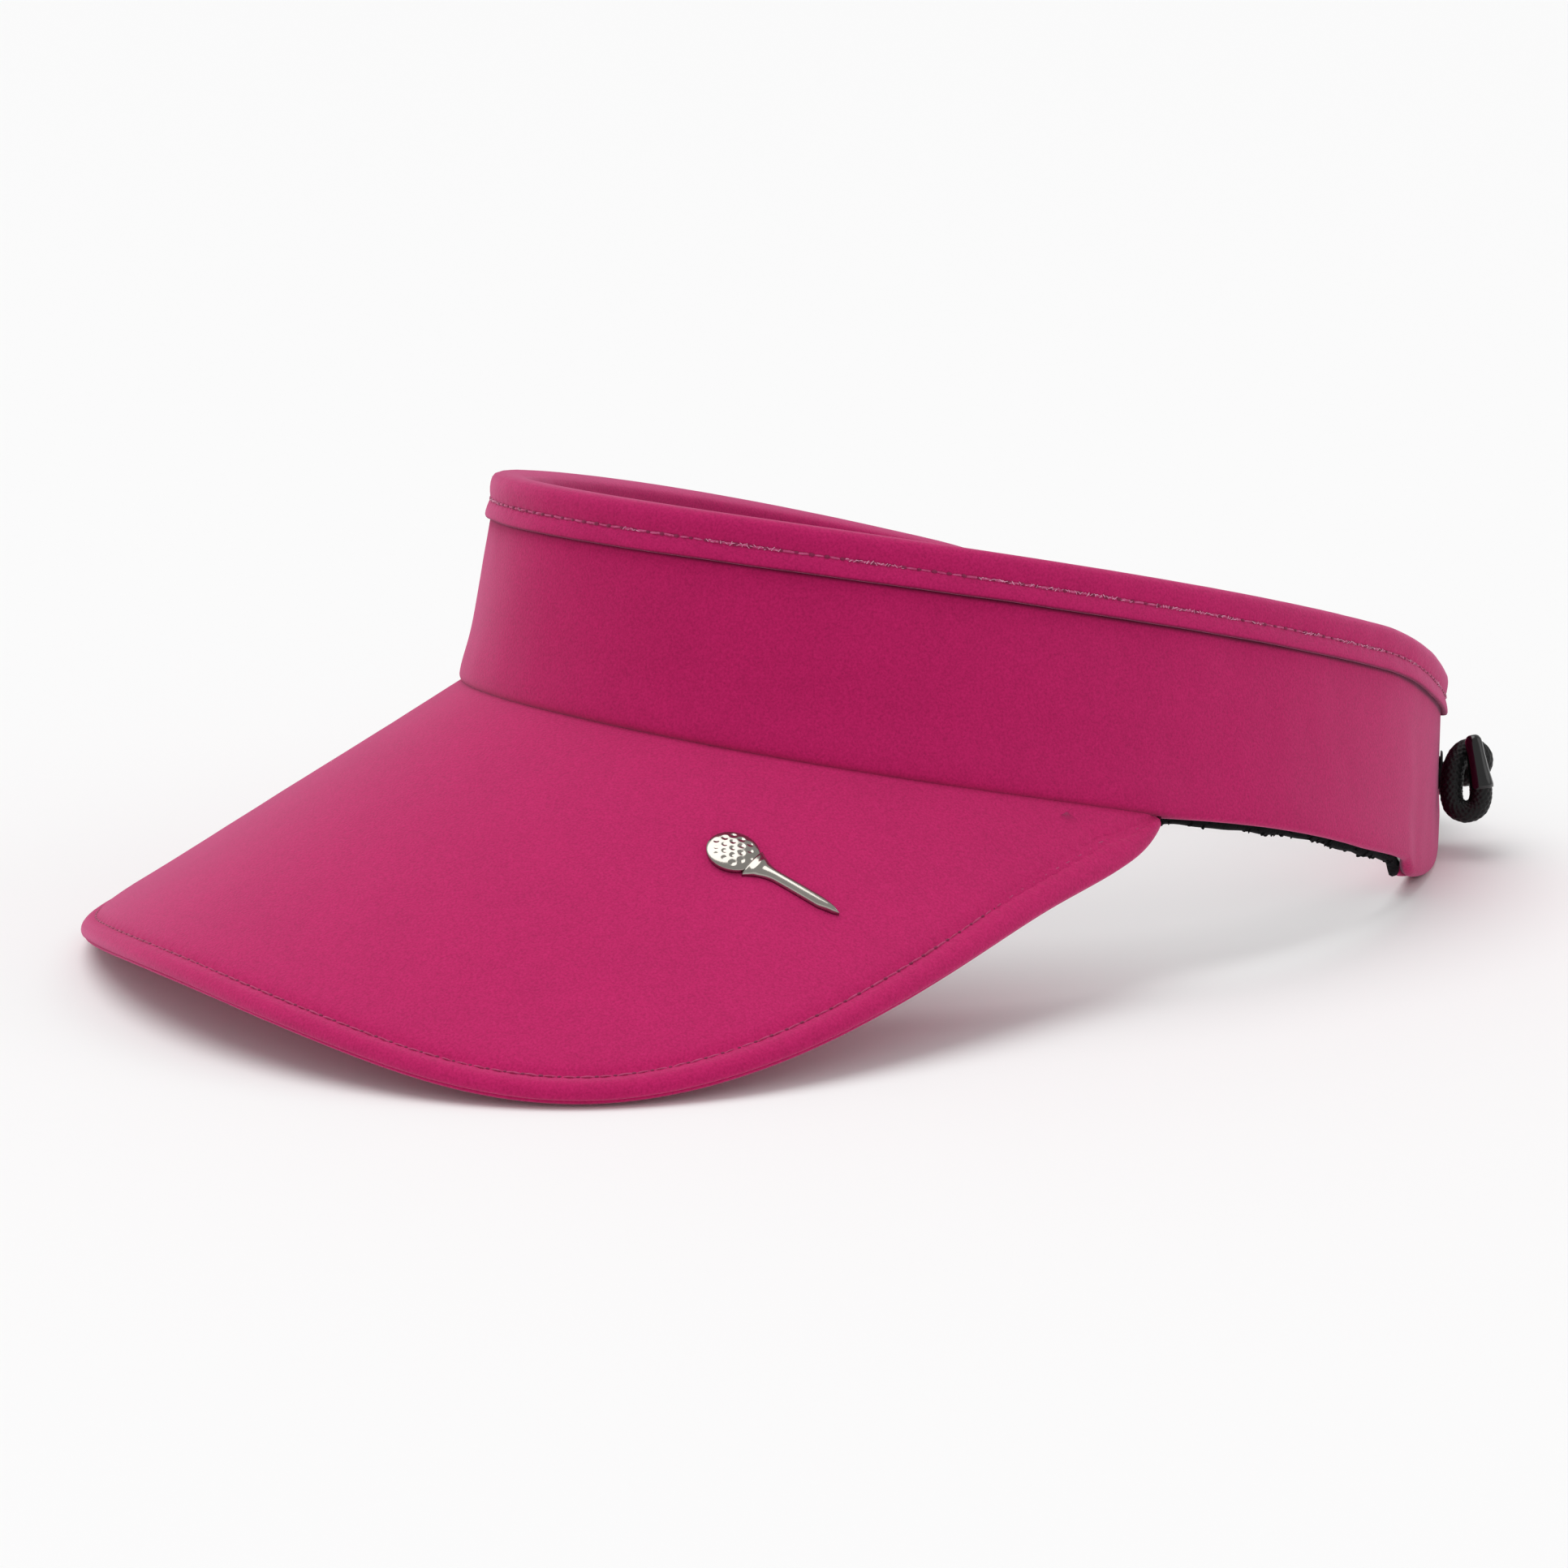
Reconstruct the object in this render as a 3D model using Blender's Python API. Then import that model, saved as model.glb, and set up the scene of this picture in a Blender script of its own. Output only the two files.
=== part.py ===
# Sun visor: curved brim, head band, terry sweatband and a coiled elastic cord that closes the back.
# Dimensions below are millimetres in the band's own frame: X forward, Y to the wearer's left, Z up.
# The finished visor is pitched forward so that it rests on a table, front facing -Y.
import math

import bmesh
import bpy
import numpy as np
from mathutils import Matrix, Vector

# ---- driving dimensions ----
BAND_HALF_LENGTH = 102.0
BAND_HALF_WIDTH = 80.8
OVAL_POWER = 1.94
RIM_SHIFT = 2.7
RIM_HALF_LENGTH = 103.8
RIM_HALF_WIDTH = 70.8
RIM_HEIGHT = 38.4
RIM_RISE = 25.0
RIM_FALL = 18.9
RIM_DROP = 4.2
RIM_TUCK = 1.4

BRIM_PITCH = math.radians(42.2)
BRIM_RADIUS = 92.2
BRIM_CONE = 0.006
BRIM_FLATTEN = 1.0e-7
BRIM_BOW = 1.4e-4
BRIM_CENTRE = -60.0
BRIM_REACH = (138.9, 141.1, 139.1, 113.4, 91.5, 81.3, 68.0)
BRIM_REACH_STEP = math.radians(18.0)
COVER = 0.6
BOARD = 1.8
GAP = 0.3
FOOT_GAP = 0.6

FABRIC = 0.8
INTERLINING = 1.0
TERRY = 2.0
BINDING_LEG = 8.0
SWEATBAND_DROP = 1.5

TEMPLE = math.radians(78.4)
HINGE = math.radians(85.0)
HINGE_SPLIT = math.radians(0.15)
TAB_START = math.radians(124.0)
BAND_END = math.radians(149.0)
CORNER_LOW = 2.7
CORNER_RISE = 14.0
HINGE_STAND_OFF = 1.5

EYELET_ANGLE = math.radians(144.6)
EYELET_HEIGHT = 0.5
EYELET_BORE = 2.6
EYELET_BARREL = 3.2
EYELET_FLANGE = 4.3
EYELET_FLANGE_THICK = 0.4
EYELET_SEAT = 0.65

COIL = 8.3
COIL_START = (-86.0, 29.5, 22.6)
COIL_BULGE = 3.0
# The tail's solid is a little slimmer than the cord, so that its tight bends stay clean.
TAIL_RADIUS = 1.9
CURL = (
    (4.2, -0.1, -0.3), (6.4, 0.0, -0.15), (8.2, 0.9, 1.3), (8.3, 2.3, 3.5), (6.4, 3.8, 4.8), (4.35, 5.2, 3.8),
    (3.1, 6.6, 1.2), (2.8, 7.4, -1.7), (2.85, 7.7, -4.4), (3.64, 7.85, -6.3), (5.55, 8.0, -7.1),
    (7.46, 8.2, -6.3), (8.25, 8.4, -4.4), (8.2, 8.5, -1.8),
)
AGLET_LENGTH = 9.0
AGLET_RADIUS = 1.8

BADGE_U = 2.0
BADGE_Y = 65.0
BADGE_TURN = math.radians(-77.0)
BADGE_THICK = 1.6
BALL_RADIUS = 4.0
TEE_LENGTH = 14.5

PITCH = math.radians(16.85)
ORIGIN_Y = 33.96
ORIGIN_Z = 16.86

LEFT = 1.0
RIGHT = -1.0


for old in list(bpy.data.objects):
    bpy.data.objects.remove(old, do_unlink=True)


# ---- materials ----
def make_material(name, colour, metallic, roughness):
    material = bpy.data.materials.new(name)
    material.use_nodes = True
    shader = material.node_tree.nodes["Principled BSDF"]
    shader.inputs["Base Color"].default_value = (*colour, 1.0)
    shader.inputs["Metallic"].default_value = metallic
    shader.inputs["Roughness"].default_value = roughness
    material.diffuse_color = (*colour, 1.0)
    return material


BAND_FABRIC = make_material("band_fabric", (0.45, 0.016, 0.10), 0.0, 0.9)
BRIM_FABRIC = make_material("brim_fabric", (0.47, 0.020, 0.12), 0.0, 0.9)
BINDING_FABRIC = make_material("binding_fabric", (0.42, 0.015, 0.10), 0.0, 0.9)
TERRY_BLACK = make_material("terry_black", (0.012, 0.012, 0.013), 0.0, 1.0)
LINING = make_material("interlining_white", (0.72, 0.72, 0.70), 0.0, 0.9)
BOARD_PLASTIC = make_material("brim_board_foam", (0.55, 0.55, 0.56), 0.0, 0.7)
CORD_BLACK = make_material("braided_cord", (0.010, 0.010, 0.011), 0.0, 0.7)
AGLET_BLACK = make_material("aglet_plastic", (0.008, 0.008, 0.009), 0.0, 0.15)
EYELET_BLACK = make_material("eyelet_lacquer", (0.015, 0.015, 0.016), 1.0, 0.35)
NICKEL = make_material("badge_nickel", (0.62, 0.60, 0.57), 1.0, 0.18)
STEEL = make_material("pin_steel", (0.50, 0.50, 0.50), 1.0, 0.35)


# ---- frame ----
def world(point):
    """A point of the band's frame, in metres in the resting frame."""
    x, y, z = point
    ahead = x * math.cos(PITCH) - z * math.sin(PITCH)
    height = x * math.sin(PITCH) + z * math.cos(PITCH)
    return Vector((y, ORIGIN_Y - ahead, height + ORIGIN_Z)) * 0.001


# ---- brim surface ----
def brim_sag(u, y):
    radius = BRIM_RADIUS * (1.0 + BRIM_CONE * u)
    return 0.5 * y * y / radius - BRIM_FLATTEN * y ** 4 + BRIM_BOW * max(u, 0.0) ** 2


def brim_top(u, y):
    sag = brim_sag(u, y)
    x = BAND_HALF_LENGTH + u * math.cos(BRIM_PITCH) - sag * math.sin(BRIM_PITCH)
    z = -u * math.sin(BRIM_PITCH) - sag * math.cos(BRIM_PITCH)
    return np.array((x, y, z))


def brim_normal(u, y):
    along_u = brim_top(u + 0.5, y) - brim_top(u - 0.5, y)
    along_y = brim_top(u, y + 0.5) - brim_top(u, y - 0.5)
    normal = np.cross(along_u, along_y)
    return normal / np.linalg.norm(normal)


def brim_point(u, y, depth):
    return brim_top(u, y) - brim_normal(u, y) * depth


def brim_u_at(x, y):
    """The distance down the brim's slope where its top surface stands over a plan point."""
    u = (x - BAND_HALF_LENGTH) / math.cos(BRIM_PITCH)
    for _ in range(8):
        sag = brim_sag(u, y)
        u = (x - BAND_HALF_LENGTH + sag * math.sin(BRIM_PITCH)) / math.cos(BRIM_PITCH)
    return u


def spline_slopes(values, step):
    """Slopes of the smooth curve through evenly spaced values, mirrored about the first one."""
    full = np.array(list(values[:0:-1]) + list(values))
    count = len(full)
    matrix = np.zeros((count, count))
    right = np.zeros(count)
    for row in range(1, count - 1):
        matrix[row, row - 1:row + 2] = (1.0, 4.0, 1.0)
        right[row] = 3.0 * (full[row + 1] - full[row - 1]) / step
    matrix[0, :2] = (2.0, 1.0)
    matrix[-1, -2:] = (1.0, 2.0)
    right[0] = 3.0 * (full[1] - full[0]) / step
    right[-1] = 3.0 * (full[-1] - full[-2]) / step
    return full, np.linalg.solve(matrix, right)


REACH_VALUES, REACH_SLOPES = spline_slopes(BRIM_REACH, BRIM_REACH_STEP)


def brim_edge(angle):
    """Slope distance and side distance of the brim's outer edge."""
    place = angle / BRIM_REACH_STEP + len(BRIM_REACH) - 1
    cell = int(min(max(math.floor(place), 0), len(REACH_VALUES) - 2))
    t = place - cell
    reach = (1 + 2 * t) * (1 - t) ** 2 * REACH_VALUES[cell] + t * t * (3 - 2 * t) * REACH_VALUES[cell + 1]
    reach += BRIM_REACH_STEP * t * (1 - t) ** 2 * REACH_SLOPES[cell]
    reach += BRIM_REACH_STEP * t * t * (t - 1) * REACH_SLOPES[cell + 1]
    return BRIM_CENTRE + reach * math.cos(angle), reach * math.sin(angle)


# ---- band surface ----
def signed_power(value, power):
    return math.copysign(abs(value) ** power, value)


def oval(phi):
    power = 2.0 / OVAL_POWER
    return signed_power(math.cos(phi), power), signed_power(math.sin(phi), power)


def ease(value):
    value = min(max(value, 0.0), 1.0)
    return value * value * (3.0 - 2.0 * value)


def back_corner(phi, free_edge):
    """The free lower edge lifts a little, then drops into a rounded corner at the band's end."""
    turn = math.degrees(abs(phi))
    edge = free_edge + 1.2 * ease((turn - 108.0) / 13.0)
    reach = min(max(turn - 126.0, 0.0) / 24.0, 0.97)
    corner = CORNER_LOW + CORNER_RISE * (1.0 - math.sqrt(1.0 - reach * reach))
    blend = ease((turn - 120.5) / 4.5)
    return edge * (1.0 - blend) + corner * blend


def band_foot(phi):
    """The lower edge of the band's outer face."""
    c, s = oval(phi)
    x = BAND_HALF_LENGTH * c
    y = BAND_HALF_WIDTH * s
    beyond = abs(phi) - TEMPLE
    if beyond <= 0.0:
        return np.array((x, y, brim_top(brim_u_at(x, y), y)[2]))
    c, s = oval(TEMPLE)
    edge_x = BAND_HALF_LENGTH * c
    edge_y = BAND_HALF_WIDTH * s
    start = brim_top(brim_u_at(edge_x, edge_y), edge_y)[2]
    return np.array((x, y, back_corner(phi, start + 12.4 * beyond - 18.6 * beyond ** 2)))


def band_rim(phi):
    c, s = oval(phi)
    back = (1.0 - math.cos(phi)) / 2.0
    turn = math.degrees(abs(phi))
    z = RIM_HEIGHT + RIM_RISE * back - RIM_FALL * back * back - RIM_DROP * ease((turn - 112.0) / 30.0)
    tuck = RIM_TUCK * ease((turn - 118.0) / 31.0)
    x = RIM_SHIFT + RIM_HALF_LENGTH * c + 0.75 * tuck
    return np.array((x, RIM_HALF_WIDTH * s - 0.66 * tuck * math.copysign(1.0, phi), z))


def band_normal(phi):
    side = band_rim(phi + 0.01) - band_rim(phi - 0.01)
    side[2] = 0.0
    up = band_rim(phi) - band_foot(phi)
    normal = np.cross(side, up)
    return normal / np.linalg.norm(normal)


def band_point(phi, depth, from_rim=None, from_foot=None):
    """A point a number of millimetres under the rim or above the foot, and inward of the face."""
    foot = band_foot(phi)
    rim = band_rim(phi)
    length = np.linalg.norm(rim - foot)
    up = (rim - foot) / length
    normal = band_normal(phi)
    if from_rim is not None:
        return rim - up * from_rim - normal * depth
    point = foot + up * from_foot - normal * depth
    if abs(phi) < TEMPLE + 0.02:
        floor = brim_top(brim_u_at(point[0], point[1]), point[1])[2] + from_foot
        point = point + up * (floor - point[2]) / up[2]
    return point


# ---- solids ----
def finish(name, mesh, material, smooth):
    mesh.name = name
    work = bmesh.new()
    work.from_mesh(mesh)
    bmesh.ops.recalc_face_normals(work, faces=work.faces)
    for face in work.faces:
        face.smooth = smooth
    work.to_mesh(mesh)
    work.free()
    mesh.materials.append(material)
    piece = bpy.data.objects.new(name, mesh)
    bpy.context.scene.collection.objects.link(piece)
    return piece


def loft(name, loops, material, ring=False, smooth=True):
    """A closed body through matching loops of points, capped unless it closes on itself."""
    size = len(loops[0])
    verts = [world(point) for loop in loops for point in loop]
    faces = []
    count = len(loops)
    for i in range(count if ring else count - 1):
        a = i * size
        b = ((i + 1) % count) * size
        for j in range(size):
            k = (j + 1) % size
            faces.append((a + j, a + k, b + k, b + j))
    if not ring:
        faces.append(tuple(range(size)))
        faces.append(tuple(reversed(range((count - 1) * size, count * size))))
    mesh = bpy.data.meshes.new(name)
    mesh.from_pydata(verts, [], faces)
    piece = finish(name, mesh, material, smooth)
    mark_sharp(piece)
    return piece


def mark_sharp(piece):
    """Keeps edges over 35 degrees crisp on a smooth-shaded piece."""
    work = bmesh.new()
    work.from_mesh(piece.data)
    for edge in work.edges:
        if len(edge.link_faces) == 2 and edge.calc_face_angle() > math.radians(35.0):
            edge.smooth = False
    work.to_mesh(piece.data)
    work.free()


def spaced(start, end, step_degrees):
    count = max(2, int(math.ceil(abs(end - start) / math.radians(step_degrees))) + 1)
    return [start + (end - start) * i / (count - 1) for i in range(count)]


def wall_loop(phi, outer, inner, low, high):
    """Section of a band layer: outer and inner depth, height over the foot, distance under the rim."""
    return [
        band_point(phi, outer, from_foot=low + 0.2),
        band_point(phi, outer + 0.2, from_foot=low),
        band_point(phi, inner - 0.2, from_foot=low),
        band_point(phi, inner, from_foot=low + 0.2),
        band_point(phi, inner, from_rim=high),
        band_point(phi, outer, from_rim=high),
    ]


def hinge_cut(side):
    return side * (HINGE - HINGE_SPLIT), side * (HINGE + HINGE_SPLIT)


def band_layer(name, outer, inner, low, high, material, back_end):
    front_left, arm_left = hinge_cut(LEFT)
    front_right, arm_right = hinge_cut(RIGHT)
    pieces = []
    spans = (
        (name + "_front", front_right, front_left),
        (name + "_left", arm_left, back_end),
        (name + "_right", arm_right, -back_end),
    )
    for label, start, end in spans:
        loops = [wall_loop(phi, outer, inner, low, high) for phi in spaced(start, end, 4.0)]
        pieces.append(loft(label, loops, material))
    return pieces


SHELL_IN = FABRIC
LINING_OUT = SHELL_IN + GAP
LINING_IN = LINING_OUT + INTERLINING
TERRY_OUT = LINING_IN + GAP
TERRY_IN = TERRY_OUT + TERRY
UNDER_BINDING = FABRIC + GAP


def sweat_loop(phi):
    """Section of the terry strip: it hangs past the brim's inner edge, and just below the free edge."""
    blend = min(max((abs(phi) - TEMPLE + 0.20) / 0.20, 0.0), 1.0)
    drop = 5.5 * (1.0 - blend) + SWEATBAND_DROP * blend
    outer_low = band_point(phi, TERRY_OUT, from_foot=0.0)
    inner_low = outer_low - band_normal(phi) * TERRY
    down = np.array((0.0, 0.0, drop))
    return [
        outer_low,
        outer_low - down,
        inner_low - down,
        inner_low,
        band_point(phi, TERRY_IN, from_rim=UNDER_BINDING),
        band_point(phi, TERRY_OUT, from_rim=UNDER_BINDING),
    ]


def binding_loop(phi):
    out = -GAP - FABRIC
    inside = TERRY_IN + GAP + FABRIC
    return [
        band_point(phi, out, from_rim=BINDING_LEG),
        band_point(phi, out + FABRIC, from_rim=BINDING_LEG),
        band_point(phi, out + FABRIC, from_rim=FABRIC),
        band_point(phi, inside - FABRIC, from_rim=FABRIC),
        band_point(phi, inside - FABRIC, from_rim=BINDING_LEG),
        band_point(phi, inside, from_rim=BINDING_LEG),
        band_point(phi, inside, from_rim=0.9),
        band_point(phi, inside - 0.9, from_rim=0.0),
        band_point(phi, out + 0.9, from_rim=0.0),
        band_point(phi, out, from_rim=0.9),
    ]


def swept(name, section, material, back_end):
    front_left, arm_left = hinge_cut(LEFT)
    front_right, arm_right = hinge_cut(RIGHT)
    pieces = []
    for label, start, end in (
        (name + "_front", front_right, front_left),
        (name + "_left", arm_left, back_end),
        (name + "_right", arm_right, -back_end),
    ):
        pieces.append(loft(label, [section(phi) for phi in spaced(start, end, 4.0)], material))
    return pieces


shell = band_layer("band_shell", 0.0, SHELL_IN, FOOT_GAP, UNDER_BINDING, BAND_FABRIC, BAND_END)
interlining = band_layer("interlining", LINING_OUT, LINING_IN, FOOT_GAP + 0.6, UNDER_BINDING, LINING,
                         TAB_START - 0.01)
sweatband = swept("sweatband", sweat_loop, TERRY_BLACK, TAB_START - 0.01)
binding = swept("top_binding", binding_loop, BINDING_FABRIC, BAND_END)

tabs = []
for label, side in (("end_facing_left", LEFT), ("end_facing_right", RIGHT)):
    stations = spaced(side * TAB_START, side * BAND_END, 2.5)
    loops = [wall_loop(phi, LINING_OUT, TERRY_IN, FOOT_GAP, UNDER_BINDING) for phi in stations]
    tabs.append(loft(label, loops, BAND_FABRIC))


# ---- brim layers ----
def brim_end_angle():
    """Where the brim's outer edge runs in under the band."""
    angle = math.radians(70.0)
    while angle < math.radians(104.0):
        u, y = brim_edge(angle)
        point = brim_top(u, y)
        if (abs(point[0]) / BAND_HALF_LENGTH) ** OVAL_POWER + (point[1] / BAND_HALF_WIDTH) ** OVAL_POWER < 1.0:
            break
        angle += math.radians(0.25)
    return angle


BRIM_END = brim_end_angle() - math.radians(1.5)
END_POINT = brim_top(*brim_edge(BRIM_END))
BAND_AT_END = math.atan2(END_POINT[1] / BAND_HALF_WIDTH, END_POINT[0] / BAND_HALF_LENGTH)
BRIM_INSIDE = LINING_IN - 0.4


def brim_inner(phi, depth):
    """Brim coordinates of the inner edge, which stands straight up inside the band."""
    target = band_point(phi, BRIM_INSIDE, from_foot=0.0)
    x, y = target[0], target[1]
    u = brim_u_at(x, y)
    v = y
    for _ in range(6):
        normal = brim_normal(u, v)
        v = y + normal[1] * depth
        u = brim_u_at(x + normal[0] * depth, v)
    return u, v


def brim_row(share, depth_inner, inset):
    """Matching points at the inner edge and at a distance in from the outer edge."""
    phi = share * BAND_AT_END
    angle = share * BRIM_END
    inner = brim_inner(phi, depth_inner)
    u, y = brim_edge(angle)
    ahead = brim_edge(angle + 0.004)
    behind = brim_edge(angle - 0.004)
    along = (ahead[0] - behind[0], ahead[1] - behind[1])
    size = math.hypot(*along)
    return inner, (u - inset * along[1] / size, y + inset * along[0] / size)


def brim_line(share, depth, inset, steps):
    inner, outer = brim_row(share, depth, inset)
    line = []
    for i in range(steps + 1):
        t = i / steps
        line.append(brim_point(inner[0] + (outer[0] - inner[0]) * t, inner[1] + (outer[1] - inner[1]) * t, depth))
    return line


BRIM_TOTAL = COVER * 2 + BOARD + GAP * 2
BRIM_MIDDLE = BRIM_TOTAL / 2
SHARES = [i / 22.0 for i in range(-22, 23)]
BRIM_STEPS = 7


def top_cover_loop(share):
    upper = brim_line(share, 0.0, 0.7, BRIM_STEPS)
    lower = brim_line(share, COVER, COVER + GAP, BRIM_STEPS)
    edge = [brim_line(share, 0.3, 0.2, 1)[1], brim_line(share, 0.9, 0.0, 1)[1]]
    edge.append(brim_line(share, BRIM_MIDDLE - GAP / 2, 0.0, 1)[1])
    edge.append(brim_line(share, BRIM_MIDDLE - GAP / 2, COVER, 1)[1])
    return upper + edge + lower[::-1]


def bottom_cover_loop(share):
    upper = brim_line(share, BRIM_TOTAL - COVER, COVER + GAP, BRIM_STEPS)
    lower = brim_line(share, BRIM_TOTAL, 0.7, BRIM_STEPS)
    edge = [brim_line(share, BRIM_MIDDLE + GAP / 2, COVER, 1)[1]]
    edge.append(brim_line(share, BRIM_MIDDLE + GAP / 2, 0.1, 1)[1])
    edge.append(brim_line(share, BRIM_TOTAL - 0.9, 0.1, 1)[1])
    edge.append(brim_line(share, BRIM_TOTAL - 0.3, 0.3, 1)[1])
    return upper + edge + lower[::-1]


def board_loop(share):
    upper = brim_line(share, COVER + GAP, COVER + GAP + 0.3, BRIM_STEPS)
    lower = brim_line(share, BRIM_TOTAL - COVER - GAP, COVER + GAP + 0.3, BRIM_STEPS)
    return upper + lower[::-1]


brim_top_cover = loft("brim_top_cover", [top_cover_loop(s) for s in SHARES], BRIM_FABRIC)
brim_board = loft("brim_board", [board_loop(s) for s in SHARES], BOARD_PLASTIC)
brim_bottom_cover = loft("brim_bottom_cover", [bottom_cover_loop(s) for s in SHARES], BRIM_FABRIC)


# ---- badge: a golf ball on a tee, laid on the brim ----
def badge_place(along, across, lift):
    """A point of the badge: along the tee from its tip, across it, and above the brim."""
    u = BADGE_U + along * math.cos(BADGE_TURN) - across * math.sin(BADGE_TURN)
    y = BADGE_Y + along * math.sin(BADGE_TURN) + across * math.cos(BADGE_TURN)
    return brim_point(u, y, -lift)


def badge_half_width(along):
    """Half width of the ball and tee: pointed tip, slim shaft, flared cup, round ball."""
    shaft_end = TEE_LENGTH
    cup = max(0.0, (along - (shaft_end - 4.5)) / 4.5)
    if along < shaft_end:
        point = min(along / 3.0, 1.0)
        return 0.35 + 0.75 * point + 2.0 * cup ** 2
    ball = along - shaft_end - BALL_RADIUS + 0.6
    return max(math.sqrt(max(BALL_RADIUS ** 2 - ball ** 2, 0.0)), 0.3)


badge_loops = []
badge_stations = [0.0, 1.5, 3.0, 5.0, 7.5, 10.0, 11.5, 13.0, 14.0, 14.5]
badge_stations += [TEE_LENGTH - 0.6 + BALL_RADIUS * (1.0 - math.cos(math.pi * i / 10)) for i in range(2, 11)]
for along in badge_stations:
    width = badge_half_width(min(along, TEE_LENGTH - 0.6 + 2 * BALL_RADIUS - 0.02))
    place = along - (TEE_LENGTH + 2 * BALL_RADIUS) / 2
    crown = min(width * 0.35, 0.6)
    badge_loops.append([
        badge_place(place, -width, GAP),
        badge_place(place, width, GAP),
        badge_place(place, width, BADGE_THICK * 0.6),
        badge_place(place, width - crown, BADGE_THICK),
        badge_place(place, -width + crown, BADGE_THICK),
        badge_place(place, -width, BADGE_THICK * 0.6),
    ])
badge = loft("badge", badge_loops, NICKEL)


def disc_loops(centre, axis, profile, sides):
    """Rings about an axis: each profile entry is a distance along it and a radius."""
    axis = np.array(axis) / np.linalg.norm(axis)
    guide = np.array((0.0, 0.0, 1.0)) if abs(axis[2]) < 0.9 else np.array((1.0, 0.0, 0.0))
    first = np.cross(axis, guide)
    first /= np.linalg.norm(first)
    second = np.cross(axis, first)
    loops = []
    for along, radius in profile:
        ring = []
        for i in range(sides):
            turn = 2.0 * math.pi * i / sides
            ring.append(centre + axis * along + (first * math.cos(turn) + second * math.sin(turn)) * radius)
        loops.append(ring)
    return loops


def cut(piece, cutter):
    modifier = piece.modifiers.new("hole", "BOOLEAN")
    modifier.operation = "DIFFERENCE"
    modifier.solver = "EXACT"
    modifier.object = cutter
    cutter.hide_render = True
    cutter.display_type = "WIRE"


pins = []
for number, along in ((1, -6.0), (2, 6.5)):
    base = badge_place(along, 0.0, 0.0)
    inward = badge_place(along, 0.0, 0.0) - badge_place(along, 0.0, 1.0)
    pin = loft("badge_pin_" + str(number),
               disc_loops(base, inward, ((0.05, 0.8), (2.2, 0.8), (2.5, 0.5)), 12), STEEL)
    pins.append(pin)
    cutter = loft("cut_pin_" + str(number),
                  disc_loops(base, inward, ((-0.25, 1.1), (2.65, 1.1)), 12), STEEL, smooth=False)
    cut(brim_top_cover, cutter)
    cut(brim_board, cutter)


# ---- eyelets, cord tails with their end curls, coil and aglets ----
def eyelet_frame(side):
    phi = side * EYELET_ANGLE
    foot = band_foot(phi)
    rim = band_rim(phi)
    level = band_foot(side * TAB_START)
    low = np.array((foot[0], foot[1], level[2]))
    face = low + (rim - low) * EYELET_HEIGHT
    return face, band_normal(phi)


def curl_frame(side):
    """Directions at an eyelet: outward, forward along the band, and up the wall."""
    face, outward = eyelet_frame(side)
    along = band_foot(side * (EYELET_ANGLE - 0.02)) - band_foot(side * EYELET_ANGLE)
    along[2] = 0.0
    along = along - outward * np.dot(along, outward)
    along /= np.linalg.norm(along)
    up = np.cross(outward, along)
    return face, outward, along, up * math.copysign(1.0, up[2])


def tube_loops(points, radius, sides):
    """Rings square to a path of points."""
    points = [np.array(p, dtype=float) for p in points]
    loops = []
    side = None
    for i, point in enumerate(points):
        ahead = points[min(i + 1, len(points) - 1)]
        behind = points[max(i - 1, 0)]
        tangent = (ahead - behind) / np.linalg.norm(ahead - behind)
        if side is None:
            guide = np.array((0.0, 0.0, 1.0)) if abs(tangent[2]) < 0.9 else np.array((1.0, 0.0, 0.0))
            side = np.cross(tangent, guide)
        side = side - tangent * np.dot(side, tangent)
        side /= np.linalg.norm(side)
        other = np.cross(tangent, side)
        ring = []
        for k in range(sides):
            turn = 2.0 * math.pi * k / sides
            ring.append(point + (side * math.cos(turn) + other * math.sin(turn)) * radius)
        loops.append(ring)
    return loops


def smooth_path(knots, per_span):
    """A rounded path through knots."""
    knots = [np.array(k, dtype=float) for k in knots]
    ends = [2 * knots[0] - knots[1]] + knots + [2 * knots[-1] - knots[-2]]
    path = []
    for i in range(1, len(ends) - 2):
        p0, p1, p2, p3 = ends[i - 1:i + 3]
        for j in range(per_span):
            t = j / per_span
            path.append(0.5 * (2 * p1 + (p2 - p0) * t + (2 * p0 - 5 * p1 + 4 * p2 - p3) * t * t
                               + (3 * p1 - p0 - 3 * p2 + p3) * t ** 3))
    path.append(knots[-1])
    return path


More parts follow.
